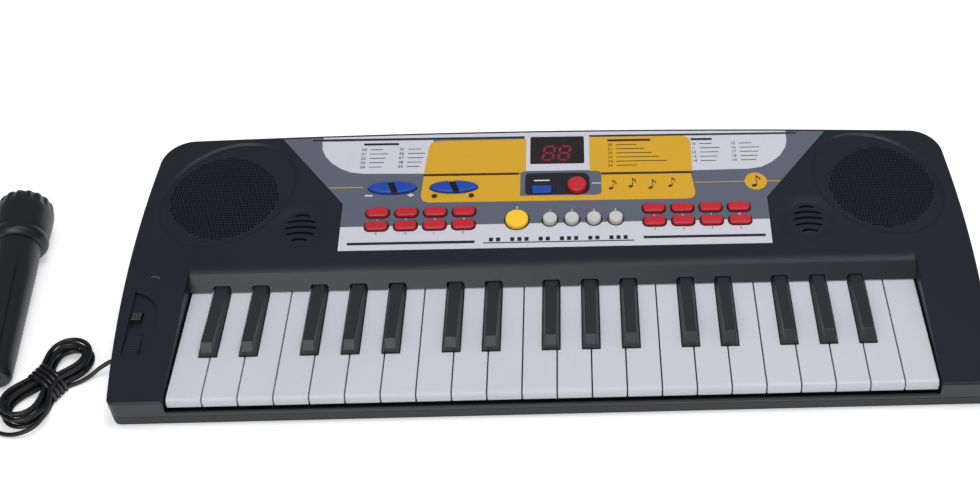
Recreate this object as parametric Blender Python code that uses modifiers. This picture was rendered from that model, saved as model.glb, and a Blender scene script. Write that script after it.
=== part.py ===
# Toy keyboard with 37 mini keys, two speakers, a sloping control panel and a corded microphone.
# Units are metres, +Z is up, +X is to the player's right and +Y is away from the player.
# The origin is the centre of the bottom case's flat underside; the feet reach below it.

import math

import bmesh
import bpy
from mathutils import Matrix, Vector

# Keys
key_pitch = 0.019            # white key to white key, a mini key
white_count = 22
key_gap = 0.0007             # daylight between two white keys
white_top_z = 0.0165         # top of the white keys above the underside
white_skirt = 0.0055         # height of a white key
key_plate = 0.0018           # top wall of a black key
white_edge_round = 0.0015    # rounding of the front top edge
key_wall = 0.0014
black_width = 0.0094
black_front_setback = 0.030  # from the white keys' front edge to the black keys' front
black_rise = 0.0074          # front end of a black key's top above the white key tops
black_rear_rise = 0.0030     # the same where the top, sloping down, meets the ridge
black_lip = 0.0025           # steep part of the black key's front above the white keys
black_lip_run = 0.0003
black_facet_run = 0.0044     # depth of the front with its sloping facet
black_top_taper = 0.66       # width of a black key at its highest against its foot
pair_offset = 0.0015         # black keys of a pair stand off their gaps
triple_offset = 0.0033       # outer black keys of a group of three stand off their gaps
notch_clearance = 0.0005     # white key beside a black key
white_dip = math.radians(2.2)   # how far a key swings down when it is played
black_dip = math.radians(3.2)

# Key hinge
hinge_setback = 0.092        # hinge axis behind the white keys' front edge
hinge_z = 0.0132
hinge_radius = 0.0018
hinge_web = 0.0022
hinge_neck = 0.0022          # web between a key's body and its hinge barrel
running_gap = 0.0003         # between pieces that seat on each other

# Case
deck_depth = 0.1077          # ridge top to the middle of the rear edge
cheek_width = 0.0298         # key well to the case's side, at the front
rear_flare = 0.0015          # how much wider each side is at the rear
side_bow = 0.0045
rear_bow = 0.0043
corner_front = 0.0045
corner_rear = 0.020
top_front_z = 0.0179         # height of the top surface at the front edge
top_slope = math.radians(6.1)
rim_round = 0.0016
case_wall = 0.0022
top_wall = 0.0032
parting_z = 0.006
floor_thickness = 0.0022
key_front_gap = 0.0006       # between the front rail and the white keys
front_rail_wall = 0.0016
rail_top_z = 0.0087
well_side_gap = 0.0007       # between the outer white keys and the cheeks
cheek_wall = 0.0018
ridge_foot_gap = 0.0008      # between the white key tops and the ridge's lower edge
ridge_foot_setback = 0.0768  # ridge's lower edge behind the white keys' front edge
ridge_top_setback = 0.0825
ridge_wall = 0.0018
ridge_notch_gap = 0.0006     # round a black key where it passes through the ridge
foot_height = 0.0015
foot_radius = 0.006
foot_side_margin = 0.0275     # feet and bosses in from the case's side and rear edge
foot_front_setback = 0.020
foot_rear_margin = 0.0222
boss_radius = 0.004
boss_side_margin = 0.0130
boss_front_setback = 0.013
boss_rear_margin = 0.0182
boss_middle_x = 0.145
boss_middle_margin = 0.0082
boss_split_z = 0.008

# Battery bay in the bottom case
bay_width = 0.062
bay_length = 0.056
bay_depth = 0.0175
bay_rear_margin = 0.0402      # centre of the bay in from the case's rear edge
bay_wall = 0.0016
cover_thickness = 0.002
cover_grip_width = 0.016
cover_grip_depth = 0.0009

# Speakers and vents, each side
speaker_side_margin = 0.0413  # speaker centre in from the case's side
speaker_rear_margin = 0.0500
dish_long = 0.0445           # half length of the oval recess round a speaker
dish_short = 0.0365
dish_turn = math.radians(50)
dish_shift = 0.0035          # recess centre off the speaker's, towards the panel's rear corner
dish_wall = 0.0028           # run of the recess's sloping wall
dish_depth = 0.0013
speaker_radius = 0.0285
speaker_depth = 0.017
magnet_radius = 0.0145
magnet_height = 0.0075
vent_x = 0.150
vent_setback = 0.1160
vent_radius = 0.0190
vent_floor_radius = 0.0125
vent_depth = 0.0013
vent_slots = 5
vent_slot_width = 0.0016
vent_slot_step = 0.0045
vent_slot_reach = 0.0104     # radius that the slots' ends keep within
vent_slot_bow = 0.0012       # rise of a slot's middle

# Control panel
panel_thickness = 0.0012
panel_half_rear = 0.1686
panel_half_waist = 0.1271
panel_half_front = 0.1269
panel_waist_setback = 0.1327
panel_front_setback = 0.0972
panel_rear_margin = 0.0022   # from the case's rear edge
button_clearance = 0.0004
button_travel = 0.0012
button_web = 0.0012          # thickness of the strip that joins or keeps the buttons below the case
web_margin = 0.002           # how far the strip reaches past the window in the case
window_margin = 0.0006       # between a button and the edge of the case's window

# Button faces: width, depth, height above the panel
red_size = (0.0130, 0.0064, 0.0020)
red_step_x = 0.0170
red_step_y = 0.0100
red_columns = 4
red_rows = 2
red_left_x = -0.0803
red_right_x = 0.0837
red_setback = 0.1199
silver_radius = 0.0042
silver_height = 0.0034
silver_step = 0.0130
silver_count = 4
silver_x = 0.0157
silver_setback = 0.1174
drum_radius = 0.0068
drum_height = 0.0027
drum_x = -0.0234
drum_setback = 0.1178
stop_radius = 0.0058
stop_height = 0.0036
stop_x = 0.0124
stop_setback = 0.1433
demo_size = (0.0118, 0.0056, 0.0014)
demo_x = -0.0088
demo_setback = 0.1408
rocker_width = 0.0288
rocker_depth = 0.0092
rocker_height = 0.0022
rocker_notch = 0.0036
rocker_notch_slant = math.radians(22)
rocker_web_half = 0.004      # half the rocker's web along its length, short so that it can tilt
volume_x = -0.0985
tempo_x = -0.0617
rocker_setback = 0.1440
display_x = 0.0006
display_rear_margin = 0.0172
display_width = 0.0326
display_length = 0.0220
display_ledge = 0.0022

# Boards
board_thickness = 0.0016
board_half_width = 0.1265
board_front_setback = 0.108
board_rear_margin = 0.0102
board_boss_radius = 0.003
contact_inset = 0.003        # how far the contact board ends short of the outer keys' sides
contact_front_setback = 0.036
contact_rear_setback = 0.072
contact_rib = 0.002
dome_front_setback = 0.048
dome_width = 0.008
dome_height = 0.0022
stop_rail_setback = 0.006
stop_rail_depth = 0.004
hinge_rail_depth = 0.005

# Power switch in the left cheek
switch_side_margin = 0.0063
switch_setback = 0.0545
recess_left = 0.0038         # recess edge left of the knob
recess_right = 0.0118        # recess edge right of the knob
recess_front = 0.0258        # recess end in front of the knob
recess_rear = 0.0164         # recess tip behind the knob
recess_depth = 0.0018
knob_width = 0.0052
knob_length = 0.0052
knob_proud = 0.0003          # knob top against the case's surface
switch_travel = 0.0040
switch_slot_gap = 0.0005
switch_flange = 0.0012

# Microphone, lying on the table
mic_tail_x = -0.3085
mic_tail_setback = 0.024
mic_lean = math.radians(5.9)
mic_length = 0.133
mic_tail_radius = 0.0105
mic_neck_radius = 0.0125
mic_neck_at = 0.088          # neck, measured from the tail
mic_head_radius = 0.0165
mic_head_at = 0.100
mic_rim_radius = 0.0150
mic_rim_at = 0.127
mic_flutes = 16
mic_flute_depth = 0.0009
mic_boot_length = 0.009
mic_boot_radius = 0.0034
mic_table_gap = 0.0001

# Cord
cord_diameter = 0.0025
cord_hole_gap = 0.00035
cord_exit_setback = 0.037
hank_x = -0.2800
hank_setback = 0.0248
hank_turn = math.radians(60)
hank_length = 0.062
hank_layers = 4
hank_loops_per_layer = 1.5
hank_step = 0.00310          # loop to loop in a layer
hank_layer_step = 0.00295
hank_waist = 0.0050          # how far each run is drawn in at the middle
points_per_loop = 24
hank_fold_diameters = 3.0    # inner fold radius in cord diameters
hank_end_splay = 0.28        # how far the hank's two ends turn outward, as a slope
table_clearance = 0.0001

# Derived places
key_half = key_pitch * white_count / 2
well_half = key_half + well_side_gap
case_half_front = well_half + cheek_width
case_half_rear = case_half_front + rear_flare
rear_setback = ridge_top_setback + deck_depth
case_depth = front_rail_wall + key_front_gap + rear_setback
front_y = -case_depth / 2
key_front_y = front_y + front_rail_wall + key_front_gap
foot_x = case_half_front - foot_side_margin
foot_rear_setback = rear_setback - foot_rear_margin
boss_x = case_half_front - boss_side_margin
boss_rear_setback = rear_setback - boss_rear_margin
boss_middle_setback = rear_setback - boss_middle_margin
bay_setback = rear_setback - bay_rear_margin
speaker_x = case_half_front - speaker_side_margin
speaker_setback = rear_setback - speaker_rear_margin
display_setback = rear_setback - display_rear_margin
board_rear_setback = rear_setback - board_rear_margin
switch_x = switch_side_margin - case_half_front
contact_half_width = key_half - contact_inset
table_z = -foot_height
slope_tan = math.tan(top_slope)


def setback_y(setback):
    """World Y of a place measured back from the white keys' front edge."""
    return key_front_y + setback


def surface_z(y):
    """Height of the sloping top surface at world Y."""
    return top_front_z + slope_tan * (y - front_y)


for old in list(bpy.data.objects):
    bpy.data.objects.remove(old, do_unlink=True)

parts = bpy.data.collections.new("toy_keyboard")
cutters = bpy.data.collections.new("cutters")
bpy.context.scene.collection.children.link(parts)
bpy.context.scene.collection.children.link(cutters)


def plastic(name, colour, roughness, metallic=0.0):
    material = bpy.data.materials.new(name)
    material.use_nodes = True
    shader = material.node_tree.nodes["Principled BSDF"]
    shader.inputs["Base Color"].default_value = (*colour, 1.0)
    shader.inputs["Roughness"].default_value = roughness
    shader.inputs["Metallic"].default_value = metallic
    material.diffuse_color = (*colour, 1.0)
    return material


case_plastic = plastic("black case plastic", (0.022, 0.024, 0.030), 0.45)
base_plastic = plastic("black base plastic", (0.018, 0.019, 0.023), 0.55)
white_plastic = plastic("white key plastic", (0.62, 0.62, 0.70), 0.35)
black_plastic = plastic("black key plastic", (0.030, 0.031, 0.036), 0.40)
panel_print = plastic("printed panel", (0.18, 0.19, 0.24), 0.40)
smoked_window = plastic("smoked window", (0.030, 0.018, 0.022), 0.15)
red_plastic = plastic("red button plastic", (0.55, 0.03, 0.05), 0.35)
blue_plastic = plastic("blue button plastic", (0.015, 0.08, 0.50), 0.35)
yellow_plastic = plastic("yellow button plastic", (0.85, 0.55, 0.06), 0.35)
grey_plastic = plastic("grey button plastic", (0.50, 0.50, 0.48), 0.35)
board_laminate = plastic("board laminate", (0.10, 0.22, 0.08), 0.60)
speaker_steel = plastic("speaker steel", (0.30, 0.30, 0.31), 0.40, 0.8)
mic_plastic = plastic("microphone plastic", (0.020, 0.022, 0.028), 0.45)
cord_vinyl = plastic("cord vinyl", (0.012, 0.012, 0.014), 0.35)


def link(obj, material=None):
    """Puts a part in its collection, or a cutter in the other when it has no material."""
    if material is None:
        cutters.objects.link(obj)
        obj.hide_render = True
        obj.display_type = "WIRE"
    else:
        parts.objects.link(obj)
        obj.data.materials.clear()
        obj.data.materials.append(material)
    return obj


def mesh_object(name, bm, material=None, matrix=Matrix()):
    mesh = bpy.data.meshes.new(name)
    bmesh.ops.recalc_face_normals(bm, faces=bm.faces)
    bm.to_mesh(mesh)
    bm.free()
    obj = bpy.data.objects.new(name, mesh)
    obj.matrix_world = matrix
    return link(obj, material)


def frozen(source, name, material=None):
    """Turns a curve, or a mesh with its modifiers, into a plain welded mesh object."""
    bpy.context.view_layer.update()
    evaluated = source.evaluated_get(bpy.context.evaluated_depsgraph_get())
    mesh = bpy.data.meshes.new_from_object(evaluated)
    bm = bmesh.new()
    bm.from_mesh(mesh)
    bmesh.ops.remove_doubles(bm, verts=bm.verts, dist=1e-6)
    bmesh.ops.dissolve_limit(bm, angle_limit=0.001, verts=bm.verts, edges=bm.edges)
    bmesh.ops.recalc_face_normals(bm, faces=bm.faces)
    bm.to_mesh(mesh)
    bm.free()
    mesh.shade_flat()
    obj = bpy.data.objects.new(name, mesh)
    obj.matrix_world = source.matrix_world
    bpy.data.objects.remove(source, do_unlink=True)
    return link(obj, material)


def plate(name, outline, low, high, material=None, matrix=Matrix()):
    """A flat outline, filled and extruded from low to high along its own Z."""
    curve = bpy.data.curves.new(name, "CURVE")
    curve.dimensions = "2D"
    curve.fill_mode = "BOTH"
    curve.extrude = (high - low) / 2
    spline = curve.splines.new("POLY")
    spline.points.add(len(outline) - 1)
    for point, (x, y) in zip(spline.points, outline):
        point.co = (x, y, 0, 1)
    spline.use_cyclic_u = True
    obj = bpy.data.objects.new(name + "_outline", curve)
    bpy.context.scene.collection.objects.link(obj)
    obj.matrix_world = matrix @ Matrix.Translation((0, 0, (high + low) / 2))
    return frozen(obj, name, material)


def cross_plate(name, profile, half_width, material=None):
    """A profile in the Y-Z plane, extruded along X to both sides of the middle."""
    turn = Matrix(((0, 0, 1, 0), (1, 0, 0, 0), (0, 1, 0, 0), (0, 0, 0, 1)))
    return plate(name, profile, -half_width, half_width, material, turn)


def block(name, low, high, material=None, matrix=Matrix()):
    bm = bmesh.new()
    bmesh.ops.create_cube(bm, size=1.0)
    size = Vector(high) - Vector(low)
    bmesh.ops.scale(bm, vec=size, verts=bm.verts)
    bmesh.ops.translate(bm, vec=(Vector(high) + Vector(low)) / 2, verts=bm.verts)
    return mesh_object(name, bm, material, matrix)


def frustum(name, radius_low, radius_high, low, high, sides, material=None, matrix=Matrix()):
    bm = bmesh.new()
    bmesh.ops.create_cone(bm, cap_ends=True, segments=sides, radius1=radius_low,
                          radius2=radius_high, depth=high - low)
    bmesh.ops.translate(bm, vec=(0, 0, (high + low) / 2), verts=bm.verts)
    return mesh_object(name, bm, material, matrix)


def boolean(target, cutter, operation="DIFFERENCE"):
    modifier = target.modifiers.new(cutter.name, "BOOLEAN")
    modifier.operation = operation
    modifier.solver = "EXACT"
    modifier.object = cutter
    return modifier


def turned(name, profile, steps, material=None, matrix=Matrix()):
    """Turns a profile of (radius, height) pairs, listed from top to bottom, about Z."""
    bm = bmesh.new()
    vertices = [bm.verts.new((radius, 0, height)) for radius, height in profile]
    for first, second in zip(vertices, vertices[1:]):
        bm.edges.new((first, second))
    mesh = bpy.data.meshes.new(name)
    bm.to_mesh(mesh)
    bm.free()
    obj = bpy.data.objects.new(name + "_profile", mesh)
    bpy.context.scene.collection.objects.link(obj)
    obj.matrix_world = matrix
    screw = obj.modifiers.new("turn", "SCREW")
    screw.steps = steps
    screw.render_steps = steps
    screw.use_merge_vertices = True
    screw.merge_threshold = 0.00002
    piece = frozen(obj, name, material)
    piece.data.shade_smooth()
    piece.data.set_sharp_from_angle(angle=math.radians(30))
    return piece


def arc(centre, radius, start, end, segments):
    """Points along an arc, angles in degrees."""
    points = []
    for index in range(segments + 1):
        angle = math.radians(start + (end - start) * index / segments)
        points.append((centre[0] + radius * math.cos(angle), centre[1] + radius * math.sin(angle)))
    return points


def rounded_rectangle(width, depth, radius, segments, centre=(0, 0)):
    x, y = width / 2 - radius, depth / 2 - radius
    points = []
    for cx, cy, start in ((x, y, 0), (-x, y, 90), (-x, -y, 180), (x, -y, 270)):
        points += arc((centre[0] + cx, centre[1] + cy), radius, start, start + 90, segments)
    return points


def oval(width, depth, segments, centre=(0, 0)):
    return [(centre[0] + width / 2 * math.cos(2 * math.pi * i / segments),
             centre[1] + depth / 2 * math.sin(2 * math.pi * i / segments)) for i in range(segments)]


def case_outline(inset=0.0):
    """Plan of the case, anticlockwise from the front, with every wall moved in by inset."""
    rear_y = -front_y - rear_bow
    front_radius = corner_front - inset
    rear_radius = corner_rear - inset
    front_x = case_half_front - inset
    rear_x = case_half_rear - inset
    near, far = front_y + inset, rear_y - inset
    half = arc((front_x - front_radius, near + front_radius), front_radius, -90, 0, 3)
    low, high = near + front_radius, far - rear_radius
    for index in range(1, 6):
        share = index / 6
        bow = side_bow * 4 * share * (1 - share)
        half.append((front_x + (rear_x - front_x) * share + bow, low + (high - low) * share))
    half += arc((rear_x - rear_radius, far - rear_radius), rear_radius, 0, 90, 6)
    span = rear_x - rear_radius
    rear = [(x * span / 4, far + rear_bow * (1 - (x / 4) ** 2)) for x in (3, 2, 1, 0)]
    half += rear
    return half + [(-x, y) for x, y in reversed(half[:-1])]


# A frame on the top surface: X across, Y up the slope, Z square out of the surface
surface = Matrix.Translation((0, front_y, top_front_z)) @ Matrix.Rotation(top_slope, 4, "X")


def up_slope(setback):
    """Distance up the slope of a place measured back from the white keys' front edge."""
    return (setback_y(setback) - front_y) / math.cos(top_slope)


def on_surface(x, setback):
    return surface @ Matrix.Translation((x, up_slope(setback), 0))


# Levels square to the top surface
recess_level = -panel_thickness - running_gap
ceiling_level = -top_wall
web_top = ceiling_level - running_gap
web_bottom = web_top - button_web
board_top = web_bottom - button_travel - running_gap
board_bottom = board_top - board_thickness

# Black key places: the gap after each white key, and the shift off that gap
octave = {0: -pair_offset, 1: pair_offset, 3: -triple_offset, 4: 0.0, 5: triple_offset}
black_keys = []
for gap in range(white_count - 1):
    if gap % 7 in octave:
        black_keys.append((gap, -key_half + key_pitch * (gap + 1) + octave[gap % 7]))
black_x_by_gap = dict(black_keys)


def key_tail(web_start):
    """Rear of a key's side profile: the web and the hinge barrel, from above to below."""
    reach = math.sqrt(hinge_radius ** 2 - (hinge_web / 2) ** 2)
    start = math.degrees(math.atan2(hinge_web / 2, -reach))
    barrel = arc((hinge_setback, hinge_z), hinge_radius, start, -start, 7)
    return [(web_start, hinge_z + hinge_web / 2)] + barrel + [(web_start, hinge_z - hinge_web / 2)]


def shifted(profile):
    return [(setback_y(setback), z) for setback, z in profile]


white_bottom_z = white_top_z - white_skirt
white_body_length = hinge_setback - hinge_radius - hinge_neck


def dipped(height, setback, dip):
    """Height that a place on a key comes down to when the key is played."""
    return height - (hinge_setback - setback) * math.sin(dip)


# A played key, white or black, comes down to the same height over the domes
dome_top_z = dipped(white_bottom_z, dome_front_setback, white_dip) - running_gap
contact_top_z = dome_top_z - dome_height
contact_underside_z = contact_top_z - board_thickness
black_bottom_z = white_bottom_z + dipped(0, dome_front_setback, white_dip) - dipped(
    0, dome_front_setback, black_dip)
stop_rail_z = dipped(white_bottom_z, stop_rail_setback, white_dip) - running_gap


def white_outline(left, right, rear_left, rear_right):
    """Plan of a white key; the rear part is narrower where black keys stand beside it."""
    notch = black_front_setback - notch_clearance
    points = [(left, 0), (right, 0)]
    if rear_right < right:
        points += [(right, notch), (rear_right, notch)]
    points += [(rear_right, white_body_length), (rear_left, white_body_length)]
    if rear_left > left:
        points += [(rear_left, notch), (left, notch)]
    return [(x, setback_y(y)) for x, y in points]


def white_key_mesh(name, left_black, right_black):
    """A white key about its own middle; each black neighbour is given by its distance in X."""
    half = (key_pitch - key_gap) / 2
    notch_half = black_width / 2 + notch_clearance
    rear_left = -half if left_black is None else left_black + notch_half
    rear_right = half if right_black is None else right_black - notch_half
    outline = white_outline(-half, half, rear_left, rear_right)
    body = plate(name, outline, white_bottom_z, white_top_z)
    bm = bmesh.new()
    bm.from_mesh(body.data)
    half_height = white_skirt / 2
    edges = [edge for edge in bm.edges
             if all(abs(v.co.y - key_front_y) < 1e-5 and abs(v.co.z - half_height) < 1e-5
                    for v in edge.verts)]
    bmesh.ops.bevel(bm, geom=edges, offset=white_edge_round, segments=2, profile=0.5,
                    affect="EDGES", material=-1)
    bm.to_mesh(body.data)
    bm.free()
    tail = cross_plate(name + "_tail", shifted(key_tail(white_body_length - key_wall / 2)),
                       (rear_right - rear_left) / 2)
    tail.matrix_world = Matrix.Translation(((rear_left + rear_right) / 2, 0, 0)) @ tail.matrix_world
    boolean(body, tail, "UNION")
    return frozen(body, name + "_shape").data


def black_top_z(setback):
    """Height of a black key's top, which slopes down from its front end to the ridge."""
    front = black_front_setback + black_facet_run
    share = (setback - front) / (ridge_foot_setback - front)
    return white_top_z + black_rise + (black_rear_rise - black_rise) * share


def black_key_mesh(name):
    top = white_top_z + black_rise
    bottom = black_bottom_z
    body_end = white_body_length
    top_end = body_end - 0.002
    profile = [(black_front_setback, bottom), (black_front_setback, white_top_z),
               (black_front_setback + black_lip_run, white_top_z + black_lip),
               (black_front_setback + black_facet_run, top), (top_end, black_top_z(top_end)),
               (body_end, white_top_z)]
    profile += key_tail(body_end)
    profile += [(body_end, bottom)]
    body = cross_plate(name, shifted(profile), black_width / 2)
    bm = bmesh.new()
    bm.from_mesh(body.data)
    bmesh.ops.bisect_plane(bm, geom=list(bm.verts) + list(bm.edges) + list(bm.faces),
                           plane_co=(0, white_top_z, 0), plane_no=(0, 1, 0))
    taper = black_width / 2 * black_top_taper
    for vertex in bm.verts:
        rise = max(vertex.co.y - white_top_z, 0) / black_rise
        half = black_width / 2 + (taper - black_width / 2) * rise
        vertex.co.z = math.copysign(half, vertex.co.z)
    bm.to_mesh(body.data)
    bm.free()
    inner = [(black_front_setback + key_wall, bottom - 0.001),
             (black_front_setback + key_wall, white_top_z + black_lip - key_wall),
             (black_front_setback + black_facet_run, top - key_plate),
             (top_end - key_wall, black_top_z(top_end - key_wall) - key_plate),
             (top_end - key_wall, bottom - 0.001)]
    hollow = cross_plate(name + "_hollow", shifted(inner), taper - key_wall)
    boolean(body, hollow)
    return frozen(body, name + "_shape").data


def key_object(name, mesh, x, material):
    """Places a key with its origin on its hinge axis."""
    shape = mesh.copy()
    pivot = Vector((x, setback_y(hinge_setback), hinge_z))
    obj = bpy.data.objects.new(name, shape)
    obj.location = pivot
    parts.objects.link(obj)
    shape.materials.clear()
    shape.materials.append(material)
    return obj


def pivoted(mesh, matrix):
    """Moves a key's mesh so that its hinge axis runs through the origin."""
    mesh.transform(Matrix.Translation((0, -setback_y(hinge_setback), -hinge_z)) @ matrix)
    return mesh


def make_keys():
    shapes = {}
    for index in range(white_count):
        centre = -key_half + key_pitch * (index + 0.5)
        left = black_x_by_gap.get(index - 1)
        right = black_x_by_gap.get(index)
        kind = (index % 7, left is None, right is None)
        if kind not in shapes:
            left_black = None if left is None else left - centre
            right_black = None if right is None else right - centre
            mesh = white_key_mesh("white_kind_%d_%d" % (index % 7, index // 7), left_black, right_black)
            middle = Matrix.Translation((0, 0, (white_top_z + white_bottom_z) / 2))
            shapes[kind] = pivoted(mesh, middle)
        key_object("white_key_%02d" % (index + 1), shapes[kind], centre, white_plastic)
    turn = Matrix(((0, 0, 1, 0), (1, 0, 0, 0), (0, 1, 0, 0), (0, 0, 0, 1)))
    shape = pivoted(black_key_mesh("black_kind"), turn)
    for number, (gap, x) in enumerate(black_keys):
        key_object("black_key_%02d" % (number + 1), shape, x, black_plastic)


# Places of the round and square buttons on the panel
red_places = {"left": red_left_x, "right": red_right_x}


def red_centres(middle_x):
    centres = []
    for row in range(red_rows):
        for column in range(red_columns):
            x = middle_x + red_step_x * (column - (red_columns - 1) / 2)
            y = up_slope(red_setback) + red_step_y * (row - (red_rows - 1) / 2)
            centres.append((x, y))
    return centres


def silver_centres():
    return [(silver_x + silver_step * (i - (silver_count - 1) / 2), up_slope(silver_setback))
            for i in range(silver_count)]


def red_outline(centre, grow=0.0):
    radius = 0.0022 + grow
    return rounded_rectangle(red_size[0] + 2 * grow, red_size[1] + 2 * grow, radius, 2, centre)


def round_outline(centre, radius, grow=0.0, sides=14):
    return oval(2 * (radius + grow), 2 * (radius + grow), sides, centre)


def demo_outline(grow=0.0):
    centre = (demo_x, up_slope(demo_setback))
    return rounded_rectangle(demo_size[0] + 2 * grow, demo_size[1] + 2 * grow, 0.0008 + grow, 1, centre)


def rocker_outline(x, grow=0.0):
    return oval(rocker_width + 2 * grow, rocker_depth + 2 * grow, 20, (x, up_slope(rocker_setback)))


def display_outline(grow=0.0):
    return rounded_rectangle(display_width + 2 * grow, display_length + 2 * grow, 0.0006 + grow, 1,
                             (display_x, up_slope(display_setback)))


def bounds_of(points, margin):
    xs = [x for x, y in points]
    ys = [y for x, y in points]
    return (min(xs) - margin, min(ys) - margin, max(xs) + margin, max(ys) + margin)


def group_bounds(name, margin):
    """Rectangle round the buttons of one strip, on the surface."""
    if name in red_places:
        points = [p for centre in red_centres(red_places[name]) for p in red_outline(centre)]
    elif name == "silver":
        points = [p for centre in silver_centres() for p in round_outline(centre, silver_radius)]
    elif name == "drum":
        points = round_outline((drum_x, up_slope(drum_setback)), drum_radius)
    elif name == "stop":
        points = round_outline((stop_x, up_slope(stop_setback)), stop_radius)
    elif name == "demo":
        points = demo_outline()
    elif name == "volume":
        points = rocker_outline(volume_x)
    else:
        points = rocker_outline(tempo_x)
    return bounds_of(points, margin)


button_groups = ["left", "right", "silver", "drum", "stop", "demo", "volume", "tempo"]


def panel_outline():
    """Plan of the panel in surface coordinates, its rear edge bowed like the case's."""
    rear = up_slope(rear_setback - panel_rear_margin)
    front = up_slope(panel_front_setback)
    waist = up_slope(panel_waist_setback)
    span = case_half_rear - corner_rear
    half = [(panel_half_front, front), (panel_half_waist, waist)]
    for share in (1.0, 0.66, 0.33, 0.0):
        x = panel_half_rear * share
        half.append((x, rear - rear_bow * (x / span) ** 2))
    return half + [(-x, y) for x, y in reversed(half[:-1])]


def grown_panel_outline(grow):
    """The panel's outline moved out by a little all round, for its seat in the case."""
    points = panel_outline()
    moved = []
    count = len(points)
    for index in range(count):
        before, here, after = points[index - 1], points[index], points[(index + 1) % count]
        first = Vector((here[1] - before[1], before[0] - here[0])).normalized()
        second = Vector((after[1] - here[1], here[0] - after[0])).normalized()
        corner = (first + second) / (1 + first.dot(second))
        moved.append((here[0] + corner.x * grow, here[1] + corner.y * grow))
    return moved


def make_panel():
    panel = plate("control_panel", panel_outline(), -panel_thickness, 0, panel_print, surface)
    holes = []
    for middle_x in red_places.values():
        holes += [red_outline(centre, button_clearance) for centre in red_centres(middle_x)]
    holes += [round_outline(centre, silver_radius, button_clearance) for centre in silver_centres()]
    holes.append(round_outline((drum_x, up_slope(drum_setback)), drum_radius, button_clearance))
    holes.append(round_outline((stop_x, up_slope(stop_setback)), stop_radius, button_clearance))
    holes.append(demo_outline(button_clearance))
    holes.append(rocker_outline(volume_x, button_clearance))
    holes.append(rocker_outline(tempo_x, button_clearance))
    holes.append(display_outline(running_gap))
    for number, outline in enumerate(holes):
        cutter = plate("panel_hole_%02d" % number, outline, -2 * panel_thickness, panel_thickness,
                       None, surface)
        boolean(panel, cutter)
    window = plate("display_window", display_outline(), -panel_thickness, 0.0001, smoked_window, surface)
    return panel, window


def well_profile():
    """Side profile of the space that the keys stand in, from the rail round to the rear."""
    foot_y = setback_y(ridge_foot_setback)
    top_y = setback_y(ridge_top_setback)
    foot_z = white_top_z + ridge_foot_gap
    top_z = surface_z(top_y)
    high = 2 * surface_z(-front_y)
    lean = (top_y - foot_y) / (top_z - foot_z)
    return foot_y, foot_z, lean, high


def speaker_recess(side, tag):
    """Oval cutter with a sloping wall, its long axis towards the panel's rear corner."""
    place = on_surface(side * speaker_x, speaker_setback) @ Matrix.Rotation(-side * dish_turn, 4, "Z")
    place = place @ Matrix.Translation((-side * dish_shift, 0, 0))
    bm = bmesh.new()
    bmesh.ops.create_cone(bm, cap_ends=True, segments=36, radius1=1, radius2=2, depth=2)
    for vertex in bm.verts:
        run = -dish_wall if vertex.co.z < 0 else dish_wall
        unit = Vector((vertex.co.x, vertex.co.y, 0)).normalized()
        vertex.co = (unit.x * (dish_long + run), unit.y * (dish_short + run), vertex.co.z * dish_depth)
    return mesh_object("dish_" + tag, bm, None, place)


def vent_slot_outline(offset):
    """One bowed slot of a vent, its ends within the slots' circle and its middle higher."""
    half = math.sqrt(vent_slot_reach ** 2 - offset ** 2) * 0.9
    upper, lower = [], []
    for index in range(9):
        share = index / 4 - 1
        y = offset + vent_slot_bow * (0.5 - share * share)
        upper.append((half * share, y + vent_slot_width / 2))
        lower.append((half * share, y - vent_slot_width / 2))
    return lower + upper[::-1]


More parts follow.
